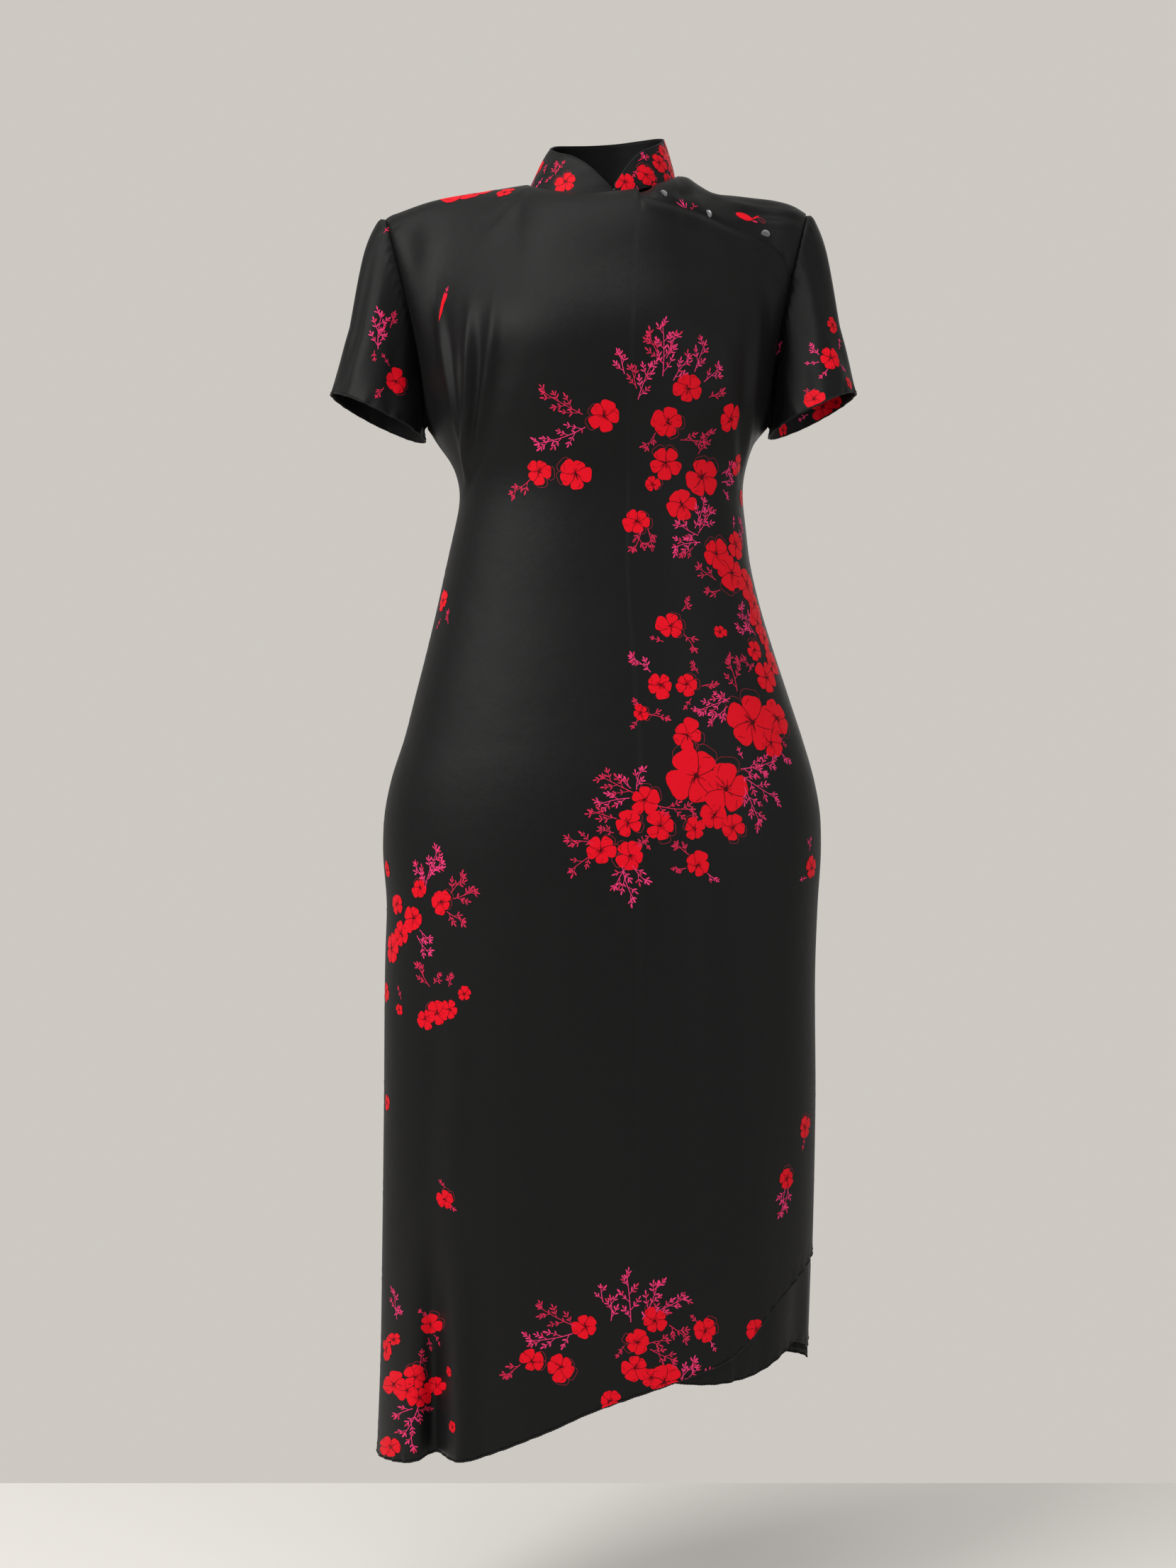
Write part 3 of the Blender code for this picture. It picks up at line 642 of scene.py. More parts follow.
def weave_bump(tree, shader, strength):
    """Fine crosswise ribs, slubs and slow waviness of the cloth, from its flat coordinates."""
    flat = tree.nodes.new("ShaderNodeUVMap")
    flat.uv_map = "cloth"
    place = tree.nodes.new("ShaderNodeTexCoord")
    ribs = bands(tree, flat, "Y", Scale=RIB_SCALE, Distortion=1.2, Detail=1.0)
    cross = bands(tree, flat, "X", Scale=RIB_SCALE * 1.3, Distortion=1.0)
    slub = add(tree, "ShaderNodeTexNoise", Scale=900.0, Detail=3.0, Roughness=0.6)
    slow = add(tree, "ShaderNodeTexNoise", Scale=42.0, Detail=3.0, Roughness=0.5)
    wire(place, "Object", slub, "Vector")
    wire(place, "Object", slow, "Vector")
    total = (cross, "Fac")
    for scaled, share in ((ribs, 0.5), (slub, 0.9)):
        mix = tree.nodes.new("ShaderNodeMath")
        mix.operation = "MULTIPLY_ADD"
        mix.inputs[1].default_value = share
        wire(scaled, "Fac", mix, 0)
        wire(*total, mix, 2)
        total = (mix, 0)
    bump = add(tree, "ShaderNodeBump", Strength=strength, Distance=0.00016)
    wire(*total, bump, "Height")
    wide = add(tree, "ShaderNodeBump", Strength=0.55, Distance=0.0010)
    wire(slow, "Fac", wide, "Height")
    wire(wide, "Normal", bump, "Normal")
    wire(bump, "Normal", shader, "Normal")
    return slub, slow


def satin(name, dark, light, rough, sheen=0.02, strength=0.35, gloss=0.15):
    """Crepe-backed satin: soft broad gloss, fine weave, faint changes of colour and gloss."""
    mat = bpy.data.materials.new(name)
    tree, shader = nodes_of(mat)
    slub, slow = weave_bump(tree, shader, strength)
    wire(ramp_of(tree, slub, dark, light, (0.30, 0.72)), "Color", shader, "Base Color")
    rough_range(tree, slow, shader, rough - 0.035, rough + 0.045)
    shader.inputs["Sheen Weight"].default_value = sheen
    shader.inputs["Sheen Roughness"].default_value = 0.45
    shader.inputs["Sheen Tint"].default_value = (*[min(1.0, 0.55 + c) for c in light], 1)
    shader.inputs["Specular IOR Level"].default_value = gloss
    return mat


BLACK = satin("black_satin_cloth", (0.0036, 0.0036, 0.0038), (0.0058, 0.0058, 0.0062), 0.44)
LINING = satin("black_satin_inside", (0.0030, 0.0030, 0.0033), (0.0050, 0.0050, 0.0055), 0.55,
               gloss=0.12)
THREAD = satin("black_edge_thread", (0.0045, 0.0045, 0.0048), (0.0095, 0.0095, 0.0100), 0.62,
               sheen=0.12, strength=0.6)
INKS = [satin(name, dark, light, 0.50, gloss=0.10) for name, dark, light in (
    ("blossom_red_print", (0.680, 0.0012, 0.0110), (0.780, 0.0026, 0.0160)),
    ("sprig_pink_print", (0.740, 0.030, 0.150), (0.860, 0.055, 0.220)),
    ("sprig_rose_print", (0.560, 0.014, 0.062), (0.660, 0.024, 0.090)),
    ("blossom_dark_line_print", (0.055, 0.0006, 0.0030), (0.085, 0.0010, 0.0045)),
    ("outline_rose_print", (0.230, 0.014, 0.026), (0.310, 0.022, 0.040)),
)]
RED, PINK, ROSE, LINE, GHOST = range(len(INKS))


def panel_grid(side, columns, yoke_rows, skirt_rows, hem_table, tops):
    """Points of a front or back panel, from the upper edge to the hem."""
    share = np.linspace(1.0, 0.0, yoke_rows + 1)[:-1]
    v = np.stack([yoke_level(share, top) for top in tops], axis=1)
    upper = body_point(side, np.tile(columns, (yoke_rows, 1)), v)
    hem = curve(hem_table, 1, columns)
    share = np.linspace(0.0, 1.0, skirt_rows)
    z = UNDERARM_Z + (hem[None] - UNDERARM_Z) * share[:, None]
    lower = body_point(side, np.tile(columns, (skirt_rows, 1)), z)
    return np.concatenate((upper, lower))


def spread(count, focus):
    """Column places from 0 to 1, closer together round each focus (place, reach, weight)."""
    fine = np.linspace(0, 1, 2001)
    density = np.ones_like(fine)
    for place, reach, weight in focus:
        density += weight * bell((fine - place) / reach)
    run = np.concatenate(((0.0,), np.cumsum((density[1:] + density[:-1]) / 2)))
    return np.interp(np.linspace(0, run[-1], count), run, fine)


def outward(points, sign=-1.0):
    """Outward normals of a panel; its side edges face straight sideways, so seams stay parallel."""
    normals = sign * grid_normals(points)
    for edge in (0, -1):
        low = points[:, edge, 2] < UNDERARM_Z + 0.001
        normals[low, edge] = unit(normals[:, edge] * (1.0, 0.0, 1.0))[low]
    return normals


def from_sides(points):
    """Distance of each place from the nearer side edge, and down from the upper edge."""
    s, t = run_lengths(points)
    return np.minimum(s, s[:, -1:] - s), t


# Cloth at a seam: how deep and wide it sinks, and height, distance and width of the puckers.
SINK = 0.0009
SINK_WIDTH = 0.0035
PUCKER = 0.00035
PUCKER_AWAY = 0.006
PUCKER_WIDTH = 0.007


def seam_dip(points, normals, seed):
    """Sinks the side seams a little and puckers the cloth beside them."""
    away, t = from_sides(points)
    phase = np.random.RandomState(seed).rand(6) * 6
    wave = ripple(t, 0.011, phase[0]) + 0.7 * ripple(t, 0.0073, phase[1])
    slow = 0.5 + 0.5 * ripple(t, 0.09, phase[4])
    shift = -SINK * bell(away / SINK_WIDTH)
    shift += PUCKER * slow * wave * bell((away - PUCKER_AWAY) / PUCKER_WIDTH)
    return points + normals * shift[..., None]


# Width of the side edges that soften and crease_push leave alone, and where softening ends.
SOFTEN_RIM = 0.020
CREASE_RIM = 0.018
SOFTEN_FAR = 2.6


def soften(points, centre_z, span, reach):
    """Rounds a panel down its columns near one height, and leaves its side edges alone."""
    away, t = from_sides(points)
    rim = smooth(away / SOFTEN_RIM)
    out = points.copy()
    for j in range(points.shape[1]):
        run = t[:, j]
        column = points[:, j]
        near = np.abs(column[:, 2] - centre_z) < SOFTEN_FAR * span
        if not near.any():
            continue
        gap = (run[near][:, None] - run[None, :]) / reach
        weight = np.exp(-0.5 * gap ** 2) * np.gradient(run)[None]
        weight /= weight.sum(axis=1, keepdims=True)
        share = bell((column[near][:, 2] - centre_z) / span) * rim[near, j]
        out[near, j] = column[near] + (weight @ column - column[near]) * share[:, None]
    return out


def hem_ripple(points, height, pitch, reach, sway=None, phase=0.0):
    """Slow ripples of a narrow rolled hem, fading upwards; sway makes their pitch uneven."""
    s, t = run_lengths(points)
    if sway:
        phase = 2 * np.sin(s / sway)
    return height * ripple(s, pitch, phase) * bell((t[-1:] - t) / reach)


def crease_push(points, creases):
    """Heights of the creases over a panel, and the share that leaves its side edges alone."""
    rim = smooth(from_sides(points)[0] / CREASE_RIM)
    return crease_height(creases, points[..., 0], points[..., 2]) * rim, rim


FRONT_COLS = spread(158, ((0.155, 0.075, 2.4), (0.93, 0.06, 0.7)))
BACK_COLS = spread(112, ((0.08, 0.08, 0.8), (0.92, 0.08, 0.8)))
FRONT_TOPS = opening_share(FRONT_COLS)
IN_OPENING = FRONT_TOPS < 0.99

front_flat = panel_grid("front", FRONT_COLS, 74, 214, FRONT_HEM, FRONT_TOPS)
for centre_z, span, reach in ((-0.290, 0.075, 0.026), (-0.245, 0.050, 0.014)):
    front_flat = soften(front_flat, centre_z, span, reach)
push, rim = crease_push(front_flat, FRONT_CREASES)
front_grid = front_flat + outward(front_flat) * push[..., None]
front_grid[..., 1] -= hem_fold(front_flat[..., 0], front_flat[..., 2]) * rim
front_normals = outward(front_grid)
front_grid = seam_dip(front_grid, front_normals, seed=3)

# The slanted lapping edge rolls softly over the shoulder piece beneath it.
LAP_ROLL = 0.0024
t = run_lengths(front_grid)[1]
lapped = IN_OPENING[None] * smooth((1.0 - FRONT_COLS) / 0.03)[None]
proud = LAP_ROLL * bell((t - 0.010) / 0.0085) * lapped
front_grid = front_grid + front_normals * proud[..., None]
hem_wave = hem_ripple(front_grid, 0.0006, 0.017, 0.010, sway=0.11)
hem_wave += hem_ripple(front_grid, 0.0003, 0.0083, 0.006, phase=1.0)
front_grid = front_grid + front_normals * hem_wave[..., None]
front_normals = outward(front_grid)
front = cloth("front_cloth", front_grid, front_normals)

back_flat = panel_grid("back", BACK_COLS, 60, 168, BACK_HEM, np.ones(len(BACK_COLS)))
for centre_z, span, reach in ((-0.290, 0.075, 0.026), (-0.245, 0.050, 0.016)):
    back_flat = soften(back_flat, centre_z, span, reach)
back_normals = outward(back_flat, 1.0)
push = crease_push(back_flat, BACK_CREASES)[0]
back_grid = seam_dip(back_flat + back_normals * push[..., None], back_normals, seed=5)
hem_wave = hem_ripple(back_flat, 0.0006, 0.019, 0.010, sway=0.13)
back_grid = back_grid + back_normals * hem_wave[..., None]
back_normals = outward(back_grid, 1.0)
back = cloth("back_cloth", back_grid, back_normals)

# Inner shoulder piece: tucked under the slanted edge of the front.
PIECE_COLS = np.linspace(0.535, 1.0, 92)
PIECE_ROWS = 34
PIECE_GAP = 0.0016


SHOULDER_CREASES = (
    (0.2000, -0.0330, 0.1250, -0.0230, 0.002, 0.0050, 0.0045, 0.0020),
    (0.1960, -0.0480, 0.1300, -0.0440, -0.002, 0.0060, 0.0050, 0.0018),
    (0.1960, -0.0400, 0.1350, -0.0330, 0.001, 0.0040, 0.0040, -0.0016),
    (0.1000, -0.0100, 0.0700, -0.0260, 0.003, 0.0060, 0.0070, -0.0016),
    (0.0950, 0.0050, 0.1180, -0.0180, -0.002, 0.0070, 0.0080, 0.0018),
)


def shoulder_piece_shape():
    """Shoulder piece: its lower part is sunk under the lapping edge of the front."""
    tops = opening_share(PIECE_COLS)
    k = np.linspace(0.0, 1.0, PIECE_ROWS)[:, None]
    deep = np.maximum(np.where(tops < 0.99, tops - 0.075, 0.90), 0.02)
    v = 1.0 + (deep[None] - 1.0) * k
    points = body_point("front", np.tile(PIECE_COLS, (PIECE_ROWS, 1)), v)
    normals = outward(points)
    edge = body_point("front", PIECE_COLS, tops)
    above = points[..., 2] - edge[None, :, 2]
    sunk = 1.0 - smooth((above + 0.001) / 0.010)
    start = smooth((0.60 - PIECE_COLS) / 0.03)[None]
    sunk = np.maximum(sunk, start) + 0.8 * start
    drag = crease_height(SHOULDER_CREASES, points[..., 0], points[..., 2])
    points = points + normals * (drag - sunk * (CLOTH + PIECE_GAP))[..., None]
    points[:, -1] += (points[:, -2] - points[:, -1]) * 0.10
    return points, outward(points)


piece_grid, piece_normals = shoulder_piece_shape()
piece = cloth("shoulder_piece_cloth", piece_grid, piece_normals)

# Underlap at the lower right, below the curved wrap edge; its folds: place, width, depth.
UNDER_COLS = np.linspace(UNDER_LEFT, 1.0, 84)
UNDER_ROWS = 70
UNDER_GAP = 0.0022
UNDER_STEP = 0.0022
UNDER_FOLDS = ((0.90, 0.03, 0.0042), (0.945, 0.018, -0.0016), (0.80, 0.020, 0.0014))


def under_shape():
    """Underlap, set in behind the front and brought out to the side seam where it is sewn."""
    hem = curve(UNDER_HEM, 1, UNDER_COLS)
    k = np.linspace(0.0, 1.0, UNDER_ROWS)[:, None]
    z = UNDER_TOP_Z + (hem[None] - UNDER_TOP_Z) * k
    points = body_point("front", np.tile(UNDER_COLS, (UNDER_ROWS, 1)), z)
    normals = outward(points)
    u = UNDER_COLS[None]
    wave = sum(depth * bell((u - place) / width) * smooth(k) for place, width, depth in UNDER_FOLDS)
    step = smooth((u - 0.738) / 0.012) * smooth((0.93 - u) / 0.08)
    wave = wave + UNDER_STEP * step * smooth(k)
    sewn = smooth((u - 0.955) / 0.045) * smooth((-1.074 - z) / 0.016)
    inward = (CLOTH + UNDER_GAP + wave) * (1.0 - 0.88 * sewn)
    points = points - normals * inward[..., None]
    points[:, -1, 1] -= 0.0012 * (1.0 - 0.8 * sewn[:, -1])
    points = points + normals * hem_ripple(points, 0.0005, 0.015, 0.008)[..., None]
    return points, outward(points)


under_grid, under_normals = under_shape()
under = cloth("under_panel_cloth", under_grid, under_normals)


# Sleeves.
ARMHOLE_STEPS = 160
SLEEVE_COLS = 150
SLEEVE_ROWS = 64
SLEEVE_PUCKER = 0.00045


def armhole_ring(side_x):
    """Ring round an armhole, down the front and up the back, with angles from its top."""
    u = 0.0 if side_x < 0 else 1.0
    v = np.linspace(1.0, 0.0, ARMHOLE_STEPS)
    front_half = body_point("front", np.full(ARMHOLE_STEPS, u), v)
    back_half = body_point("back", np.full(ARMHOLE_STEPS - 2, u), v[::-1][1:-1])
    dense = resample(np.concatenate((front_half, back_half)), 0.001, closed=True)
    run = np.linalg.norm(np.roll(dense, -1, axis=0) - dense, axis=1)
    bottom = int(np.argmin(dense[:, 2]))
    front_run = np.concatenate(((0.0,), np.cumsum(run[:bottom])))
    back_run = np.concatenate(((0.0,), np.cumsum(run[bottom:])))
    turn = np.zeros(len(dense) + 1)
    turn[:bottom + 1] = math.pi * front_run / front_run[-1]
    turn[bottom:] = math.pi + math.pi * back_run / back_run[-1]
    closed = np.concatenate((dense, dense[:1]))
    angles = np.linspace(0, 2 * math.pi, SLEEVE_COLS, endpoint=False)
    return angles, np.stack([np.interp(angles, turn, closed[:, k]) for k in range(3)], axis=1)


def sleeve_shape(label, side_x):
    """Sleeve from the armhole to the cuff, with the swell of its cap, folds and puckers."""
    angles, ring = armhole_ring(side_x)
    cuff = CUFFS[label]
    outer = np.array((cuff["outer"][0], 0.0, cuff["outer"][1]))
    inner = np.array((cuff["inner"][0], 0.0, cuff["inner"][1]))
    middle = (outer + inner) / 2
    half = (outer - inner) / 2
    out = np.array((side_x, 0.0, 0.0))
    c = np.cos(angles)
    s = np.sin(angles)
    end = middle + half * c[:, None] + np.array((0.0, -cuff["half_depth"], 0.0)) * s[:, None]
    along = np.linspace(0.0, 1.0, SLEEVE_ROWS)[:, None]
    grid = ring[None] + (end - ring)[None] * along[..., None]
    swell = np.sin(math.pi * np.minimum(1.0, along * 1.6) ** 0.55)
    crown = np.maximum(0.0, c)[None] ** 0.7 * swell
    grid = grid + (out * 0.8 + np.array((0, 0, 0.35))) * (cuff["cap"] * crown)[..., None]
    under_arm = np.maximum(0.0, -c)[None] ** 3 * (1 - along)
    grid = grid + out * (0.0030 * under_arm + SEAM * 1.5 * (1 - along))[..., None]
    normals = grid_normals(grid, True)
    sign = 1.0 if (normals * (grid - grid.mean(axis=1, keepdims=True))).sum() > 0 else -1.0
    normals = normals * sign
    push = np.zeros(grid.shape[:2])
    degrees = np.degrees(angles)[None]
    for turn_at, start, stop, width, height in SLEEVE_FOLDS[label]:
        lean = turn_at + 10 * np.sin(along * 2.4 + turn_at)
        away = (degrees - lean + 180) % 360 - 180
        fade = smooth((along - start + 0.10) / 0.35) * smooth((stop + 0.12 - along) / 0.30)
        push = push + height * fade * bell(away / width)
    s_run, t_run = run_lengths(grid)
    pucker = ripple(s_run, 0.011) + 0.6 * ripple(s_run, 0.0071, 1)
    push = push + SLEEVE_PUCKER * pucker * bell((t_run - 0.007) / 0.006)
    around = s_run[:1] / s_run[0, -1]
    up = t_run[-1:] - t_run
    push = push + 0.0005 * np.sin(around * 2 * math.pi * 19) * bell(up / 0.010)
    push = push + 0.0003 * np.sin(around * 2 * math.pi * 31 + 1) * bell(up / 0.006)
    grid = grid + normals * push[..., None]
    # The first rows are tucked into the armhole seam.
    inward = grid.mean(axis=1, keepdims=True)[:1] - grid[:1]
    inward[..., 0] = 0.0
    tuck = bell(t_run / 0.0030)[..., None]
    grid = grid + unit(inward) * 0.0026 * tuck - out * 0.0042 * tuck ** 2
    normals = grid_normals(grid, True) * sign
    share = np.maximum(0.0, c)[:, None]
    normals[0] = unit(normals[0] * (1 - 0.5 * share) + np.array((0, 0, 1.0)) * 0.5 * share)
    return grid, normals


SLEEVE_GRIDS = {}
sleeves = {}
for label, side_x in (("left", -1.0), ("right", 1.0)):
    SLEEVE_GRIDS[label] = sleeve_shape(label, side_x)
    sleeves[label] = cloth("sleeve_%s_cloth" % label, *SLEEVE_GRIDS[label], closed=True)


# Collar band.
COLLAR_COLS = 236
COLLAR_ROWS = 22
COLLAR_WALL = 0.0014
COLLAR_BOW = 0.0007
COLLAR_WAVE = 0.00035
NOTCH_GAP = 0.010


def collar_shape():
    """Stand band round the neck; its upper edge turns down to the notch at both ends."""
    start = NOTCH_ANGLE + NOTCH_GAP
    end = NOTCH_ANGLE + 2 * math.pi - NOTCH_GAP
    share = np.linspace(0.0, 1.0, COLLAR_COLS)
    ease = 0.5 - 0.5 * np.cos(share * math.pi)
    angle = start + (end - start) * (0.55 * share + 0.45 * ease)
    base = neck_ring(angle)
    c = np.cos(angle)
    s = np.sin(angle)
    depth = np.where(c > 0, COLLAR_TOP_FRONT, COLLAR_TOP_BACK)
    top = np.stack((COLLAR_TOP_X + COLLAR_TOP_HALF * s, -depth * c,
                    base[:, 2] + COLLAR_HEIGHT - 0.002 * c), axis=-1)
    from_right = 1 - np.minimum(1.0, (angle - start) / COLLAR_TURN_RIGHT)
    from_left = 1 - np.minimum(1.0, (end - angle) / COLLAR_TURN_LEFT)
    rise = np.minimum(1.0 - 0.75 * from_right ** 2.4, 1.0 - 0.94 * from_left ** 2.1)
    part = np.linspace(1.0, 0.0, COLLAR_ROWS)[:, None] * rise[None]
    grid = base[None] + (top - base)[None] * part[..., None]
    grid[..., 2] += SEAM
    normals = grid_normals(grid)
    if (normals[..., :2] * (grid - grid.mean(axis=(0, 1)))[..., :2]).sum() < 0:
        normals = -normals
    normals = unit(0.35 * normals + 0.65 * normals[COLLAR_ROWS // 2][None])
    bow = COLLAR_BOW * np.sin(math.pi * part)
    soft = COLLAR_WAVE * ripple(run_lengths(grid)[0], 0.034, 0.8) * smooth(part * 2)
    return grid + normals * (bow + soft)[..., None], normals


collar_grid, collar_normals = collar_shape()
collar = cloth("collar_cloth", collar_grid, collar_normals, wall=COLLAR_WALL)


# Rolled edges of the cloth.
def edge_path(points, normals, wall=CLOTH, step=0.0010, closed=False):
    """Middle of the wall along an edge."""
    return resample(points - normals * wall * 0.5, step, closed)


def ends_and_top(grid):
    return np.concatenate((grid[::-1, 0], grid[0, 1:-1], grid[:, -1]))


EDGES = []
for name, points, normals, radius, wobble, seed in (
        ("front_hem_roll", front_grid[-1], front_normals[-1], 0.00095, 0.14, 11),
        ("back_hem_roll", back_grid[-1], back_normals[-1], 0.00095, 0.14, 12),
        ("under_panel_hem_roll", under_grid[-1], under_normals[-1], 0.00090, 0.14, 13),
        ("under_panel_side_roll", under_grid[8:, 0], under_normals[8:, 0], 0.00080, 0.12, 14)):
    EDGES.append(tube(name, edge_path(points, normals), radius, THREAD, wobble, seed=seed))
for label in ("left", "right"):
    grid, normals = SLEEVE_GRIDS[label]
    EDGES.append(tube("cuff_%s_roll" % label, edge_path(grid[-1], normals[-1], closed=True),
                      0.00095, THREAD, 0.14, closed=True, seed=15))
EDGES.append(tube("collar_rim_roll",
                  edge_path(ends_and_top(collar_grid), ends_and_top(collar_normals), COLLAR_WALL, 0.0012),
                  0.00095, THREAD, 0.03, pitch=0.004, seed=17))
EDGES.append(tube("opening_edge_roll",
                  edge_path(front_grid[0, IN_OPENING], front_normals[0, IN_OPENING]),
                  0.00085, BLACK, 0.02, pitch=0.004, seed=18))


# Buttons: faceted clear domes on the shoulder piece; the profile holds radius and height shares.
BUTTON_SIDES = 12
BUTTON_RADIUS = 0.0045
BUTTON_HEIGHT = 0.0042
BUTTON_PROFILE = ((0.78, 0.00), (0.98, 0.10), (1.00, 0.22), (0.86, 0.52), (0.60, 0.82), (0.34, 0.97))
SOLID_RING = 8


def glass():
    mat = bpy.data.materials.new("faceted_glass")
    tree, shader = nodes_of(mat)
    noise = add(tree, "ShaderNodeTexNoise", Scale=700.0, Detail=2.0)
    wire(tree.nodes.new("ShaderNodeTexCoord"), "Object", noise, "Vector")
    rough_range(tree, noise, shader, 0.03, 0.10)
    shader.inputs["Base Color"].default_value = (0.44, 0.46, 0.49, 1)
    shader.inputs["IOR"].default_value = 1.62
    shader.inputs["Transmission Weight"].default_value = 0.55
    shader.inputs["Coat Weight"].default_value = 0.4
    shader.inputs["Coat Roughness"].default_value = 0.03
    return mat


def facets():
    """Faces of a dome: a flat foot, rings of triangles turned by half a side, and a tip."""
    faces = [tuple(reversed(range(BUTTON_SIDES)))]
    last = len(BUTTON_PROFILE) - 1
    for level in range(last):
        for k in range(BUTTON_SIDES):
            a = level * BUTTON_SIDES + k
            b = level * BUTTON_SIDES + (k + 1) % BUTTON_SIDES
            up_a = a + BUTTON_SIDES
            up_b = b + BUTTON_SIDES
            faces.append((a, b, up_b if level % 2 else up_a))
            faces.append((a, up_b, up_a) if level % 2 else (b, up_b, up_a))
    for k in range(BUTTON_SIDES):
        faces.append((last * BUTTON_SIDES + k, last * BUTTON_SIDES + (k + 1) % BUTTON_SIDES,
                      (last + 1) * BUTTON_SIDES))
    return faces


GLASS = glass()
buttons = []
for number in (1, 2, 3):
    solid = [np.array(v.co) for v in bpy.data.objects["button_%d" % number].data.vertices]
    base = np.mean(solid[:SOLID_RING], axis=0)
    crown = np.mean(solid[-SOLID_RING:], axis=0)
    normal = (crown - base) / np.linalg.norm(crown - base)
    side = solid[0] - base
    side -= normal * side.dot(normal)
    side /= np.linalg.norm(side)
    over = np.cross(normal, side)
    verts = []
    for level, (radius, height) in enumerate(BUTTON_PROFILE):
        for k in range(BUTTON_SIDES):
            turn = 2 * math.pi * (k + 0.5 * (level % 2)) / BUTTON_SIDES
            ring = (side * math.cos(turn) + over * math.sin(turn)) * BUTTON_RADIUS * radius
            verts.append(tuple(base + normal * BUTTON_HEIGHT * height + ring))
    verts.append(tuple(base + normal * BUTTON_HEIGHT))
    buttons.append(add_mesh("button_%d_glass" % number, verts, facets(), (GLASS,), soft=False))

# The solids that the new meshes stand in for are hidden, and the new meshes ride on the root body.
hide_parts("front_panel")
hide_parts("back_panel")
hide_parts("shoulder_piece")
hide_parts("under_panel")
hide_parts("sleeve_left")
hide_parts("sleeve_right")
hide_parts("collar")
for number, thing in enumerate(buttons, start=1):
    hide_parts("button_%d" % number)
for thing in (front, back, piece, under, sleeves["left"], sleeves["right"], collar, *buttons, *EDGES):
    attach(thing, "root")


# Printed blossoms and sprigs, laid on the cloth.
class Surface:
    """Ray and nearest-point questions on the outer side of one cloth grid."""

    def __init__(self, points, normals, closed=False):
        if closed:
            points = np.concatenate((points, points[:, :1]), axis=1)
            normals = np.concatenate((normals, normals[:, :1]), axis=1)
        self.points = points
        self.normals = normals
        rows, cols = points.shape[:2]
        i, j = np.meshgrid(np.arange(rows - 1), np.arange(cols - 1), indexing="ij")
        a = (i * cols + j).ravel()
        quads = np.stack((a, a + cols, a + cols + 1, a + 1), axis=1)
        self.face_normals = normals.reshape(-1, 3)[quads].mean(axis=1)
        self.tree = BVHTree.FromPolygons(points.reshape(-1, 3).tolist(), quads.tolist())

    def answer(self, spot, _, face, __):
        if spot is None:
            return None
        normal = self.face_normals[face]
        return np.array(spot), normal / np.linalg.norm(normal)

    def nearest(self, q):
        return self.answer(*self.tree.find_nearest(Vector(q)))

    def hit(self, origin, aim):
        return self.answer(*self.tree.ray_cast(Vector(origin), Vector(aim).normalized()))

    def at(self, row_share, col_share):
        rows, cols = self.points.shape[:2]
        place = np.array((row_share * (rows - 1),)), np.array((col_share * (cols - 1),))
        normal = sample(self.normals, *place)[0]
        return sample(self.points, *place)[0], normal / np.linalg.norm(normal)


def sight(x, y, start=0.0):
    """Ray from the camera through a place of the photograph's frame."""
    eye = np.array((CAMERA_X, -CAMERA_DISTANCE, CAMERA_Z))
    aim = np.array(((x - PHOTO_MIDDLE[0]) * PX, CAMERA_DISTANCE, (PHOTO_MIDDLE[1] - y) * PX))
    return eye + aim * start, aim


FILL = 0.00020
OVER = 0.00034
LAYER_STEP = 0.000012
SIGHT_BACK = 0.15


class Print:
    """Flat coloured shapes gathered for one cloth piece."""

    def __init__(self, name, surface):
        self.name = name
        self.surface = surface
        self.verts = []
        self.flat = []
        self.faces = []
        self.kinds = []
        self.layer = 0

    def frame_at(self, spot, normal, lean=0.0):
        up = np.array((0.0, 0.0, 1.0))
        up = up - normal * up.dot(normal)
        if np.linalg.norm(up) < 0.2:
            up = np.array((0.0, 1.0, 0.0)) - normal * normal[1]
        up /= np.linalg.norm(up)
        right = np.cross(up, normal)
        c, s = math.cos(lean), math.sin(lean)
        return spot, right * c + up * s, up * c - right * s

    def lay(self, frame_, shape, faces, kind, lift):
        """Lays a flat shape; a frame with a fourth part is laid along that line of sight."""
        centre, right, up = frame_[:3]
        first = len(self.verts)
        tiny = lift + LAYER_STEP * (self.layer % 6)
        for a, b in shape:
            place = centre + right * a + up * b
            found = None
            if len(frame_) == 4:
                found = self.surface.hit(place - frame_[3] * SIGHT_BACK, frame_[3])
            spot, normal = found or self.surface.nearest(place)
            self.verts.append(tuple(spot + normal * tiny))
            self.flat.append((centre[0] + a, centre[2] + b))
        for face in faces:
            self.faces.append(tuple(first + k for k in face))
            self.kinds.append(kind)

    def build(self):
        thing = add_mesh(self.name, self.verts, self.faces, INKS, self.kinds, np.array(self.flat))
        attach(thing, "root")
        return thing


def polar(reach, angle):
    return reach * math.cos(angle), reach * math.sin(angle)


def ribbon(path, width0, width1):
    """Thin strip along a path of flat points, narrowing towards its end."""
    path = np.array(path)
    step = np.gradient(path, axis=0)
    step /= np.maximum(np.linalg.norm(step, axis=1, keepdims=True), 1e-9)
    side = np.stack((-step[:, 1], step[:, 0]), axis=1)
    width = np.linspace(width0, width1, len(path))[:, None] / 2
    shape = np.concatenate((path + side * width, path - side * width))
    n = len(path)
    return shape, [(k, k + 1, n + k + 1, n + k) for k in range(n - 1)]


def fan_of(count):
    """Triangles from a first point to a ring of points after it."""
    return [(0, 1 + k, 1 + (k + 1) % count) for k in range(count)]


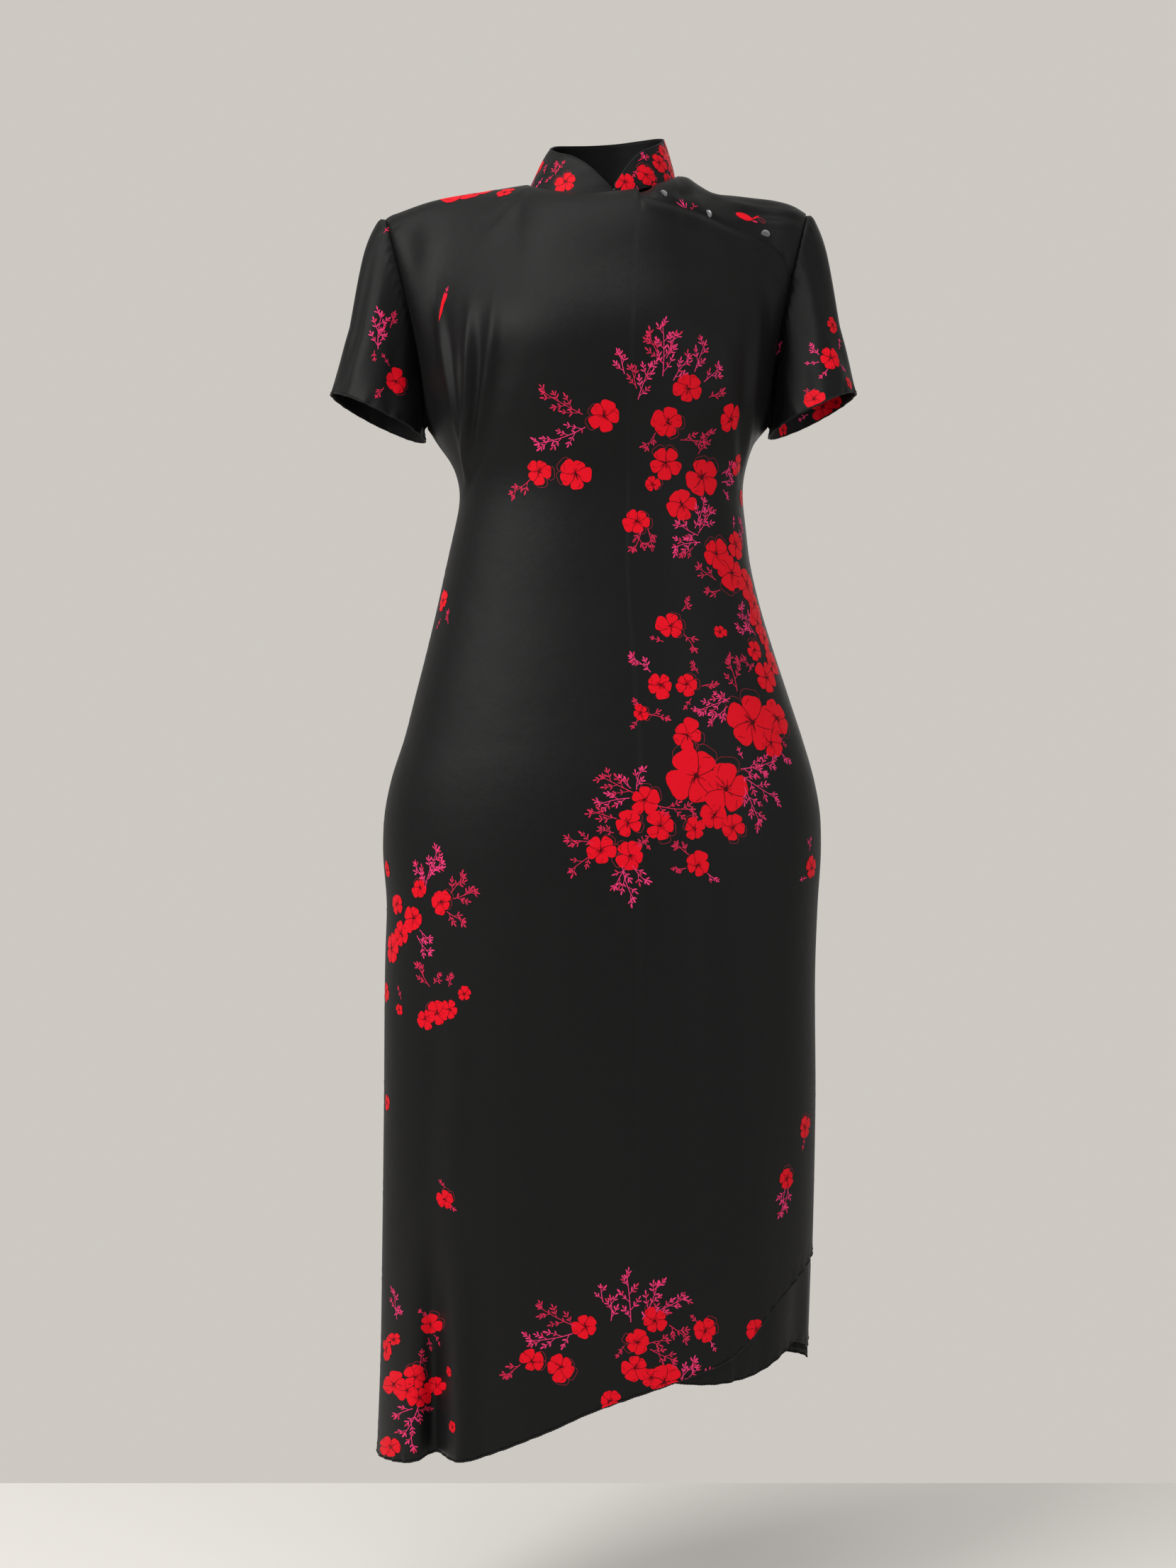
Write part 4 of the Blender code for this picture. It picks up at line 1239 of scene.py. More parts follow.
def petal_rim(at, reach, wide, places):
    """Rim of a broad petal that starts at the middle of the blossom."""
    rim = []
    for t in places:
        a = (1 - math.cos(t)) / 2
        half = math.sin(t) * (0.35 + 0.85 * a) * wide * 0.5
        along = reach * a * (1 - 0.05 * math.exp(-(((t - math.pi) / 0.35) ** 2)))
        rim.append((along * math.cos(at) - half * math.sin(at),
                    along * math.sin(at) + half * math.cos(at)))
    return rim


ROUND = 6.28
LARGE = 0.008


def blossom(sheet_print, frame_, radius, seed, ghost=0.0, detail=1.0):
    """Five uneven petals, dark folds and stamens, and a partial second outline to one side."""
    rng = random.Random(seed)
    turn = rng.random() * ROUND
    count = 20 if radius > LARGE else 12
    fan = fan_of(count)
    band = [(1 + k, 1 + count + k, 1 + count + (k + 1) % count, 1 + (k + 1) % count)
            for k in range(count)]
    longest = rng.randrange(5)
    petals = []
    for p in range(5):
        at = turn + 2 * math.pi * p / 5 + rng.uniform(-0.17, 0.17)
        reach = radius * rng.uniform(0.80, 1.04) * (1.14 if p == longest else 1.0)
        petals.append((at, reach, reach * rng.uniform(0.88, 1.16)))
    sheet_print.layer += 1
    for at, reach, wide in petals:
        rim = petal_rim(at, reach, wide, np.linspace(0, 2 * math.pi, count, endpoint=False))
        core = polar(0.56 * reach, at)
        if radius > LARGE:
            middle = [((x + core[0]) / 2, (y + core[1]) / 2) for x, y in rim]
            sheet_print.lay(frame_, [core] + middle + rim, fan + band, RED, FILL)
        else:
            sheet_print.lay(frame_, [core] + rim, fan, RED, FILL)

    def line(path, width0, width1):
        sheet_print.lay(frame_, *ribbon(path, width0, width1), LINE, OVER)

    fine = min(0.00076, max(0.00042, radius * 0.036))
    side = 1 if rng.random() < 0.5 else -1
    for at, reach, wide in petals:
        if rng.random() < 0.84:
            stop = rng.uniform(0.55, 0.74)
            line(petal_rim(at, reach * 0.985, wide * 0.97,
                           [side * t for t in np.linspace(0.22, stop, 8) * math.pi]),
                 fine * 0.8, fine * 0.7)
        if radius > 0.007 and rng.random() < 0.6:
            lean = at + rng.uniform(-0.22, 0.22)
            far = rng.uniform(0.84, 0.93) * reach
            near = far - reach * rng.uniform(0.14, 0.30)
            line([polar(r, lean + 0.10 * k) for k, r in enumerate(np.linspace(far, near, 4))],
                 fine * 0.7, fine * 0.4)
    if radius > 0.0055:
        for _ in range(int(8 + 7 * detail)):
            at = rng.random() * ROUND
            reach = radius * rng.uniform(0.16, 0.42)
            bend = rng.uniform(-0.2, 0.2)
            line([polar(r, at + bend * r / reach) for r in np.linspace(radius * 0.06, reach, 4)],
                 fine * 0.95, fine * 0.5)
    dot = [polar(radius * 0.085, t) for t in np.linspace(0, 6.283, 8, endpoint=False)]
    sheet_print.lay(frame_, dot, [tuple(range(8))], LINE, OVER)
    if ghost:
        dx, dy = polar(radius * rng.uniform(0.16, 0.26), ghost)
        for at, reach, wide in petals:
            if abs((at - ghost + math.pi) % (2 * math.pi) - math.pi) < 1.35:
                path = [(x + dx, y + dy)
                        for x, y in petal_rim(at, reach * 1.04, wide, np.linspace(1.0, 5.2, 20))]
                sheet_print.lay(frame_, *ribbon(path, 0.00050, 0.00040), GHOST, FILL * 0.6)


LEAF_SIDES = 10


def leaf(sheet_print, frame_, x, y, angle, length, width, kind, outline=False):
    c, s = math.cos(angle), math.sin(angle)
    rim = []
    for t in np.linspace(0, 2 * math.pi, LEAF_SIDES, endpoint=False):
        a = (1 - math.cos(t)) / 2
        half = math.sin(t) * (a ** 0.5) * (1.25 - 0.55 * a) * 0.5
        rim.append((x + c * a * length - s * half * width, y + s * a * length + c * half * width))
    if outline:
        sheet_print.lay(frame_, *ribbon(rim + rim[:1], 0.00055, 0.00055), kind, FILL)
        vein = [(x, y), (x + c * length * 0.7, y + s * length * 0.7)]
        sheet_print.lay(frame_, *ribbon(vein, 0.00045, 0.00030), kind, FILL)
        return
    middle = (x + c * length * 0.5, y + s * length * 0.5)
    sheet_print.lay(frame_, [middle] + rim, fan_of(LEAF_SIDES), kind, FILL)


def sprig(sheet_print, frame_, length, angle, style, seed):
    """Twig with side shoots of small leaves; style p is pink, r is rose, o has outlined leaves."""
    rng = random.Random(seed)
    kind = PINK if style == "p" else ROSE
    bend = rng.uniform(-0.45, 0.45)
    sheet_print.layer += 1

    def stem_point(t, start, lean, reach, curl):
        a = lean + curl * t
        return (start[0] + reach * t * math.cos((lean + a) / 2),
                start[1] + reach * t * math.sin((lean + a) / 2)), a

    def one_leaf(place, lean, size):
        tone = ROSE if kind == PINK and rng.random() < 0.22 else kind
        hollow = style == "o" and rng.random() < 0.45
        long = size * rng.uniform(0.85, 1.20)
        leaf(sheet_print, frame_, place[0], place[1], lean, long, long * rng.uniform(0.36, 0.48),
             tone, hollow)

    def stalk(start, lean, reach, curl, thick):
        path = [stem_point(t, start, lean, reach, curl)[0] for t in np.linspace(0, 1, 6)]
        sheet_print.lay(frame_, *ribbon(path, thick, thick * 0.65), kind, FILL)

    size = max(0.0038, min(0.0050, length * 0.30))
    stalk((0.0, 0.0), angle, length * 0.94, bend, 0.00080)
    tip, a = stem_point(0.88, (0.0, 0.0), angle, length, bend)
    for lean, share in ((0.0, 1.15), (0.75, 0.85), (-0.75, 0.85)):
        one_leaf(tip, a + lean, size * share)
    steps = max(1, round(length / 0.0078))
    side = 1 if seed % 2 else -1
    for k in range(steps):
        t = (k + 0.50) / (steps + 0.35)
        start, a = stem_point(t, (0.0, 0.0), angle, length, bend)
        side = -side
        shoot = min(0.0150, length * 0.46) * (1.08 - 0.62 * t) * rng.uniform(0.75, 1.20)
        lean = a + side * rng.uniform(0.50, 0.85)
        if shoot < 0.0045:
            one_leaf(start, lean, size)
            one_leaf(start, a - side * rng.uniform(0.5, 0.9), size * 0.9)
            continue
        curl = -side * rng.uniform(0.0, 0.5)
        stalk(start, lean, shoot, curl, 0.00062)
        one_leaf(*stem_point(0.85, start, lean, shoot, curl), size)
        for part in ((0.36, 0.72) if shoot > 0.0090 else (0.58,)):
            place, here = stem_point(part, start, lean, shoot, curl)
            one_leaf(place, here + rng.uniform(0.5, 0.9), size * 0.86)
            one_leaf(place, here - rng.uniform(0.5, 0.9), size * 0.86)
        if rng.random() < 0.3:
            one_leaf(start, a - side * rng.uniform(0.6, 1.1), size * 0.9)


def seen_frame(sheet_print, x, y, start=0.0, level=False):
    """Frame on the cloth at a place of the photograph; a level one lies in the picture's plane."""
    found = sheet_print.surface.hit(*sight(x, y, start))
    if found is None:
        return None
    if level:
        aim = sight(x, y)[1]
        return (found[0], np.array((1.0, 0.0, 0.0)), np.array((0.0, 0.0, 1.0)),
                aim / np.linalg.norm(aim))
    return sheet_print.frame_at(*found)


def seen_rows(sheet_print, rows, start, level):
    """Rows of a table with their frames on the cloth, and their distance as a share."""
    for number, row in enumerate(rows):
        frame_ = seen_frame(sheet_print, row[0], row[1], start, level)
        if frame_ is not None:
            yield number, row, frame_, (CAMERA_DISTANCE + frame_[0][1]) / CAMERA_DISTANCE


def print_seen(sheet_print, blossoms, sprigs, seeds, start=0.0, level=False):
    """Prints a table of blossoms and one of sprigs, given in the photograph's frame."""
    for number, (_, _, size, ghost), frame_, depth in seen_rows(sheet_print, blossoms, start, level):
        blossom(sheet_print, frame_, size * PX * depth / 2, seeds[0] + number * 7 + 3,
                ghost=math.radians(ghost or 0.0))
    for number, (x0, y0, x1, y1, style), frame_, depth in seen_rows(sheet_print, sprigs, start, level):
        length = math.hypot(x1 - x0, y1 - y0) * PX * depth
        sprig(sheet_print, frame_, length, math.atan2(y0 - y1, x1 - x0), style,
              seeds[1] + number * 11 + 5)


# Blossoms of the front: place across and down the photograph's frame, width, turn of the outline.
FRONT_BLOSSOMS = (
    (852, 586, 46, 200), (971, 548, 46, None), (942, 596, 46, 330), (939, 652, 50, 120),
    (990, 674, 62, 60), (962, 711, 50, None), (921, 683, 24, 20), (899, 735, 42, 340),
    (812, 668, 48, 160), (760, 665, 40, 330), (1031, 590, 44, None), (1040, 655, 36, None),
    (1011, 781, 50, 100), (1038, 768, 44, None), (1032, 808, 54, 250), (1054, 825, 50, None),
    (946, 883, 42, 10), (1016, 891, 22, None), (1064, 917, 34, 100), (1069, 878, 46, None),
    (932, 966, 40, None), (969, 965, 36, 10), (904, 1006, 26, 350), (1062, 1019, 86, 100),
    (1088, 1048, 46, None), (1096, 1013, 60, 300), (1081, 956, 50, None), (969, 1037, 46, 320),
    (982, 1094, 84, 80), (1024, 1114, 72, 60), (1034, 1168, 42, 300), (1008, 1150, 44, None),
    (909, 1128, 46, 60), (886, 1161, 44, 340), (932, 1165, 44, 300), (980, 1169, 34, 150),
    (848, 1199, 42, 30), (889, 1207, 42, 170), (984, 1221, 38, None), (1145, 1224, 38, None),
    (625, 848, 34, None), (592, 1253, 30, 90), (622, 1272, 38, 20), (560, 1276, 34, None),
    (583, 1296, 40, None), (566, 1318, 40, None), (553, 1338, 46, None), (617, 1430, 40, 200),
    (600, 1438, 30, None), (634, 1424, 30, None), (655, 1402, 22, None), (563, 1424, 17, None),
    (627, 1692, 30, 60), (1136, 1591, 32, 60), (1110, 1663, 32, 70), (826, 1872, 38, None),
    (750, 1920, 36, 10), (791, 1929, 40, 330), (924, 1864, 40, 80), (899, 1894, 38, 190),
    (995, 1878, 36, 30), (896, 1930, 42, None), (937, 1950, 52, None), (918, 1944, 30, None),
    (861, 1977, 32, None), (1067, 1876, 34, None), (545, 1400, 30, None), (638, 2014, 18, None),
    (1064, 853, 44, None), (1078, 899, 42, None), (1090, 936, 42, None), (1046, 702, 26, None),
    (546, 1556, 26, None), (545, 1905, 34, None), (633, 1936, 16, None), (546, 1226, 24, None),
)
# Blossoms over the hem fold, laid along the line of sight.
FOLD_BLOSSOMS = (
    (607, 1869, 32, 60), (555, 1890, 20, None), (556, 1953, 38, None), (585, 1944, 36, 60),
    (615, 1955, 30, None), (591, 1972, 36, None), (574, 1962, 30, None), (551, 2043, 32, None),
)
# Sprigs of the front: foot, tip, kind.
FRONT_SPRIGS = (
    (935, 530, 938, 452, "p"), (932, 510, 915, 470, "r"), (940, 505, 955, 470, "p"),
    (881, 527, 873, 497, "p"), (900, 563, 914, 511, "p"), (898, 548, 889, 517, "r"),
    (980, 524, 990, 480, "p"), (993, 538, 1019, 516, "p"), (950, 536, 967, 497, "p"),
    (822, 584, 760, 552, "r"),
    (826, 602, 756, 640, "p"), (748, 676, 721, 700, "o"), (905, 745, 900, 778, "o"),
    (914, 746, 922, 770, "o"), (1000, 560, 1020, 548, "r"), (960, 620, 1000, 618, "r"),
    (985, 640, 1000, 605, "r"), (925, 610, 912, 632, "o"), (1018, 668, 1046, 650, "p"),
    (1020, 690, 1030, 700, "p"), (1018, 680, 1042, 672, "p"), (985, 755, 950, 745, "p"),
    (988, 765, 944, 766, "p"), (985, 752, 1012, 720, "p"), (980, 745, 1005, 705, "p"),
    (978, 772, 960, 786, "o"), (1035, 745, 1036, 732, "p"), (1048, 770, 1046, 735, "p"),
    (1010, 818, 980, 801, "r"), (1016, 832, 994, 840, "r"), (962, 862, 975, 847, "o"),
    (965, 895, 984, 914, "o"), (936, 905, 921, 900, "o"), (1066, 896, 1034, 860, "p"),
    (1062, 892, 1031, 884, "p"), (1040, 975, 1038, 925, "o"), (1060, 940, 1036, 926, "o"),
    (1056, 948, 1066, 938, "o"), (918, 948, 893, 920, "p"), (985, 950, 978, 934, "o"),
    (990, 968, 1012, 960, "o"), (975, 985, 968, 998, "o"), (1030, 985, 975, 1006, "p"),
    (1026, 996, 1002, 1024, "p"), (1028, 990, 1006, 982, "p"), (915, 1008, 942, 1010, "o"),
    (900, 1016, 892, 1024, "o"), (902, 998, 895, 990, "o"), (1045, 1085, 1108, 1078, "p"),
    (1046, 1094, 1106, 1134, "p"), (1050, 1110, 1074, 1165, "p"), (1060, 1082, 1085, 1092, "p"),
    (1100, 1060, 1117, 1076, "p"), (1098, 1040, 1112, 1050, "r"), (1048, 1070, 1042, 1058, "p"),
    (893, 1118, 845, 1096, "r"), (898, 1114, 898, 1083, "p"), (888, 1126, 841, 1128, "p"),
    (890, 1112, 872, 1098, "p"), (870, 1155, 832, 1145, "r"), (838, 1190, 800, 1178, "r"),
    (836, 1206, 802, 1226, "r"), (866, 1175, 846, 1172, "r"), (878, 1222, 884, 1274, "p"),
    (882, 1226, 862, 1250, "p"), (893, 1222, 908, 1248, "p"), (925, 1136, 980, 1152, "r"),
    (930, 1142, 926, 1156, "r"), (905, 1180, 912, 1196, "r"), (918, 1178, 902, 1190, "r"),
    (972, 1206, 952, 1192, "o"), (968, 1225, 950, 1228, "o"), (998, 1232, 1012, 1244, "p"),
    (1142, 1200, 1145, 1184, "p"), (1138, 1238, 1126, 1240, "p"), (600, 1252, 618, 1192, "p"),
    (598, 1244, 583, 1218, "p"), (604, 1240, 628, 1212, "p"), (640, 1268, 677, 1258, "o"),
    (636, 1260, 656, 1234, "r"), (630, 1286, 656, 1302, "r"), (588, 1320, 608, 1350, "p"),
    (592, 1312, 612, 1328, "p"), (606, 1392, 580, 1364, "o"), (612, 1388, 622, 1374, "o"),
    (633, 1392, 640, 1376, "o"), (566, 1410, 558, 1396, "r"), (628, 1676, 622, 1668, "o"),
    (632, 1700, 640, 1706, "o"), (1136, 1604, 1128, 1616, "o"), (1108, 1676, 1096, 1712, "p"),
    (1112, 1676, 1108, 1704, "p"), (812, 1872, 754, 1850, "r"), (808, 1882, 745, 1904, "p"),
    (734, 1926, 711, 1944, "o"), (851, 1838, 845, 1816, "p"), (862, 1864, 868, 1832, "p"),
    (890, 1866, 888, 1794, "p"),
    (906, 1862, 940, 1815, "p"), (912, 1858, 972, 1832, "p"),
    (944, 1870, 972, 1890, "r"), (917, 1904, 952, 1926, "r"), (915, 1896, 942, 1888, "r"),
    (985, 1866, 975, 1860, "o"), (1002, 1892, 1008, 1904, "p"), (960, 1946, 984, 1922, "p"),
    (956, 1950, 1008, 1934, "p"), (880, 1900, 870, 1912, "o"), (606, 1858, 592, 1850, "o"),
    (612, 1884, 624, 1892, "o"), (560, 1862, 549, 1824, "p"), (556, 1856, 572, 1846, "p"),
    (626, 422, 631, 409, "r"), (632, 880, 628, 862, "r"), (622, 872, 616, 884, "r"),
)
FOLD_SPRIGS = (
    (592, 1928, 596, 1908, "r"), (590, 1984, 578, 2030, "p"), (582, 1988, 556, 1996, "p"),
    (590, 1990, 608, 1992, "r"), (580, 2024, 580, 2046, "p"), (604, 1888, 606, 1902, "r"),
)
# Blossoms of the sleeves and shoulder, in the same frame.
LEFT_SLEEVE_BLOSSOMS = ((558, 537, 38, 330),)
LEFT_SLEEVE_SPRIGS = (
    (533, 492, 530, 437, "p"), (534, 470, 545, 458, "p"), (536, 480, 545, 474, "p"),
    (528, 494, 526, 506, "r"), (549, 516, 541, 502, "r"), (541, 546, 532, 562, "r"),
    (541, 328, 547, 317, "r"), (550, 462, 556, 440, "o"),
)
RIGHT_SLEEVE_BLOSSOMS = ((1175, 459, 24, None), (1172, 504, 38, None), (1149, 562, 32, None),
                         (1198, 540, 20, None))
RIGHT_SLEEVE_SPRIGS = (
    (1156, 500, 1142, 486, "p"), (1156, 510, 1140, 514, "p"), (1184, 492, 1192, 480, "p"),
    (1186, 514, 1194, 520, "p"), (1168, 520, 1160, 532, "p"), (1096, 500, 1106, 486, "p"),
    (1094, 506, 1088, 490, "p"), (1150, 548, 1136, 556, "r"),
)
RIGHT_CUFF_BLOSSOMS = ((1161, 573, 40, None), (1104, 606, 22, None), (1180, 566, 24, None))
RIGHT_CUFF_SPRIGS = ((1140, 584, 1128, 590, "p"),)
# Narrow leaves of the shoulder: foot, length and turn in the picture, width.
PIECE_LEAVES = (
    (967, 294, 16, 143, 2.2), (967, 294, 17, 160, 2.2), (967, 293, 15, 124, 2.0),
    (966, 293, 13, 106, 2.0), (967, 295, 14, 178, 2.0), (968, 294, 9, 88, 1.8),
    (975, 297, 10, 62, 1.2), (979, 291, 5, 10, 2.0), (979, 290, 5, 118, 2.0),
    (977, 294, 4, 150, 1.6),
)
# Back: place across and height in metres, width; then foot, tip and kind of the sprigs.
BACK_BLOSSOMS = (
    (-0.140, -0.022, 0.052), (-0.095, -0.012, 0.022), (0.105, -0.060, 0.034),
    (0.130, -0.085, 0.028), (0.080, -0.085, 0.030), (-0.095, -0.150, 0.032),
    (-0.070, -0.175, 0.030), (-0.120, -0.180, 0.026), (-0.135, -0.330, 0.030),
    (-0.110, -0.360, 0.036), (-0.140, -0.380, 0.032), (-0.120, -0.410, 0.042),
    (-0.150, -0.430, 0.034), (-0.165, -0.470, 0.038), (-0.140, -0.500, 0.032),
    (-0.170, -0.540, 0.050), (-0.145, -0.570, 0.060), (-0.105, -0.600, 0.046),
    (-0.075, -0.625, 0.034), (-0.125, -0.635, 0.036), (-0.055, -0.655, 0.030),
    (-0.170, -0.620, 0.034), (0.020, -0.420, 0.032), (0.045, -0.440, 0.030),
    (0.130, -0.690, 0.034), (0.160, -0.715, 0.036), (0.140, -0.740, 0.030),
    (0.175, -0.760, 0.032), (0.060, -0.930, 0.024), (-0.090, -0.960, 0.024),
    (-0.020, -1.100, 0.032), (0.010, -1.130, 0.036), (-0.045, -1.140, 0.030),
    (0.020, -1.165, 0.040), (-0.015, -1.180, 0.034), (0.130, -1.120, 0.030),
    (0.150, -1.150, 0.034), (-0.150, -1.160, 0.036), (-0.175, -1.190, 0.034),
    (-0.130, -1.200, 0.032), (-0.160, -1.225, 0.040), (0.105, -1.175, 0.028),
)
BACK_SPRIGS = (
    (0.095, -0.055, 0.070, -0.030, "p"), (0.140, -0.080, 0.160, -0.060, "p"),
    (0.080, -0.100, 0.060, -0.130, "p"), (-0.080, -0.160, -0.040, -0.135, "p"),
    (-0.105, -0.190, -0.110, -0.225, "r"), (-0.115, -0.345, -0.085, -0.320, "p"),
    (-0.095, -0.365, -0.060, -0.355, "p"), (-0.110, -0.425, -0.075, -0.440, "r"),
    (-0.140, -0.480, -0.100, -0.480, "p"), (-0.130, -0.540, -0.090, -0.520, "p"),
    (-0.080, -0.600, -0.045, -0.580, "p"), (-0.050, -0.640, -0.015, -0.630, "r"),
    (-0.090, -0.650, -0.085, -0.690, "p"), (-0.150, -0.600, -0.185, -0.640, "p"),
    (0.050, -0.430, 0.085, -0.410, "p"), (0.010, -0.430, -0.020, -0.455, "r"),
    (0.135, -0.680, 0.130, -0.640, "p"), (0.145, -0.690, 0.165, -0.660, "p"),
    (0.120, -0.720, 0.085, -0.745, "r"), (0.150, -0.760, 0.140, -0.795, "p"),
    (-0.010, -1.095, -0.020, -1.045, "p"), (0.010, -1.110, 0.045, -1.070, "p"),
    (-0.035, -1.120, -0.075, -1.095, "p"), (0.030, -1.140, 0.070, -1.130, "r"),
    (-0.050, -1.160, -0.090, -1.165, "r"), (0.140, -1.110, 0.160, -1.080, "p"),
    (-0.150, -1.145, -0.145, -1.100, "p"), (-0.130, -1.180, -0.100, -1.160, "p"),
    (0.060, -0.942, 0.050, -0.965, "r"), (-0.090, -0.972, -0.075, -0.990, "r"),
)

front_print = Print("front_print", Surface(front_grid, front_normals))
print_seen(front_print, FRONT_BLOSSOMS, FRONT_SPRIGS, (100, 900))
print_seen(front_print, FOLD_BLOSSOMS, FOLD_SPRIGS, (150, 950), level=True)
# Two blossoms beyond the left shoulder, and the narrow stroke on the left of the bust.
for x, y, size, past in ((651, 284, 0.058, 0.0296), (706, 279, 0.022, 0.0130)):
    centre, right, up = seen_frame(front_print, x, y)
    blossom(front_print, (centre + up * past, right, up), size / 2, 88 + x)
stroke = seen_frame(front_print, 619, 453, level=True)
leaf(front_print, stroke, 0.0, 0.0, math.radians(78), 0.0300, 0.0040, RED)
leaf(front_print, stroke, 0.0035, 0.0150, math.radians(70), 0.0140, 0.0030, RED)

left_print = Print("sleeve_left_print", Surface(*SLEEVE_GRIDS["left"], closed=True))
print_seen(left_print, LEFT_SLEEVE_BLOSSOMS, LEFT_SLEEVE_SPRIGS, (41, 77))
right_print = Print("sleeve_right_print", Surface(*SLEEVE_GRIDS["right"], closed=True))
print_seen(right_print, RIGHT_SLEEVE_BLOSSOMS, RIGHT_SLEEVE_SPRIGS, (61, 97))
# Backs of the sleeves: share along and round, width.
for sheet_print, mirror in ((left_print, 0), (right_print, 3)):
    for k, (row, col, size) in enumerate(((0.35, 0.62, 0.030), (0.52, 0.70, 0.026),
                                          (0.78, 0.60, 0.032))):
        frame_ = sheet_print.frame_at(*sheet_print.surface.at(row, col + 0.02 * mirror))
        blossom(sheet_print, frame_, size / 2, 300 + k + mirror, ghost=1.0)
        sprig(sheet_print, frame_, 0.026, 1.2 + k * 2.1, "p", 320 + k)

grid, normals = SLEEVE_GRIDS["right"]
cuff_print = Print("sleeve_right_inside_print", Surface(grid - normals * CLOTH, -normals, closed=True))
print_seen(cuff_print, RIGHT_CUFF_BLOSSOMS, RIGHT_CUFF_SPRIGS, (71, 79), start=1.0)

piece_print = Print("shoulder_piece_print", Surface(piece_grid, piece_normals))
for number, (x, y, long, turn, wide) in enumerate(PIECE_LEAVES):
    frame_ = seen_frame(piece_print, x, y, level=True)
    leaf(piece_print, frame_, 0.0, 0.0, math.radians(turn), long * PX, wide * PX,
         PINK if number < 6 else ROSE)
bud = seen_frame(piece_print, 1052, 306, level=True)
for x, y, turn, long, wide, ink in (
        (0.0075, -0.0022, 160, 0.0185, 0.0082, RED), (0.0060, -0.0030, 152, 0.0120, 0.0088, RED),
        (0.0055, -0.0020, 24, 0.0085, 0.0026, RED), (0.0060, -0.0030, -18, 0.0065, 0.0024, ROSE),
        (0.0120, 0.0005, -40, 0.0095, 0.0046, GHOST)):
    leaf(piece_print, bud, x, y, math.radians(turn), long, wide, ink, outline=ink == GHOST)

back_print = Print("back_print", Surface(back_grid, back_normals))
for number, (x, z, size) in enumerate(BACK_BLOSSOMS):
    found = back_print.surface.hit((x, 1.0, z), (0, -1, 0))
    if found:
        blossom(back_print, back_print.frame_at(*found), size / 2, 700 + number * 5,
                ghost=(number % 3) * 2.0)
for number, (x0, z0, x1, z1, style) in enumerate(BACK_SPRIGS):
    found = back_print.surface.hit((x0, 1.0, z0), (0, -1, 0))
    if found:
        reach = math.hypot(x1 - x0, z1 - z0)
        sprig(back_print, back_print.frame_at(*found), reach, math.atan2(z1 - z0, x0 - x1), style,
              820 + number * 3)

# Collar: dense print on the right half, one blossom on the left half.
COLLAR_BLOSSOMS = ((798, 256, 37, 120), (881, 256, 35, None), (888, 227, 28, 200), (912, 246, 33, 100),
                   (930, 229, 31, None), (943, 253, 24, None), (907, 269, 12, None),
                   (925, 262, 14, None))
COLLAR_SPRIGS = (
    (784, 246, 779, 226, "r"), (786, 240, 793, 228, "r"), (781, 246, 773, 254, "r"),
    (766, 250, 759, 262, "p"), (768, 244, 764, 232, "r"), (866, 262, 872, 270, "p"),
    (900, 226, 917, 216, "r"), (898, 262, 904, 272, "p"), (926, 214, 941, 208, "r"),
    (899, 238, 895, 248, "r"), (922, 240, 920, 256, "r"), (944, 230, 946, 216, "p"),
    (946, 242, 936, 240, "r"), (912, 226, 906, 216, "p"), (870, 240, 864, 250, "r"),
)
collar_print = Print("collar_print", Surface(collar_grid, collar_normals))
print_seen(collar_print, COLLAR_BLOSSOMS, COLLAR_SPRIGS, (400, 431))
rng = random.Random(5)
# Behind, the same kind of print in a layout of its own, drawn at random.
BEHIND = 30
for k in range(BEHIND):
    col = 0.205 + 0.50 * (k + 0.5) / BEHIND + rng.uniform(-0.004, 0.004)
    row = (0.22, 0.76, 0.48)[k % 3] + rng.uniform(-0.05, 0.05)
    spot, normal = collar_print.surface.at(row, col)
    frame_ = collar_print.frame_at(spot, normal, rng.uniform(-0.5, 0.5))
    size = rng.uniform(0.0068, 0.0100)
    blossom(collar_print, frame_, size, 460 + k, ghost=1.0 + k, detail=0.6)
    lean = rng.random() * ROUND
    centre = frame_[0] + (frame_[1] * math.cos(lean) + frame_[2] * math.sin(lean)) * size * 1.1
    sprig(collar_print, (centre, frame_[1], frame_[2]), 0.0095, lean, "p" if k % 3 else "r", 500 + k)

PRINTS = {}
for made, cloth_piece in ((front_print, front), (left_print, sleeves["left"]),
                          (right_print, sleeves["right"]), (cuff_print, sleeves["right"]),
                          (piece_print, piece), (back_print, back), (collar_print, collar)):
    PRINTS.setdefault(cloth_piece.name, []).append(made.build())

# Cut sizes of the cloth pieces.
SHEETS = (
    (front, (0.570, 1.310), 0.620, ("front_hem_roll", "opening_edge_roll")),
    (back, (0.580, 1.310), 0.640, ("back_hem_roll",)),
    (piece, (0.240, 0.120), 0.0178, ()),
    (under, (0.235, 0.180), 0.0375, ("under_panel_hem_roll", "under_panel_side_roll")),
    (sleeves["left"], (0.490, 0.200), 0.0410, ("cuff_left_roll",)),
    (sleeves["right"], (0.490, 0.200), 0.0390, ("cuff_right_roll",)),
    (collar, (0.425, 0.046), 0.0151, ("collar_rim_roll",)),
)
for thing, flat, area, with_names in SHEETS:
    others = [bpy.data.objects[name] for name in with_names] + PRINTS.get(thing.name, [])


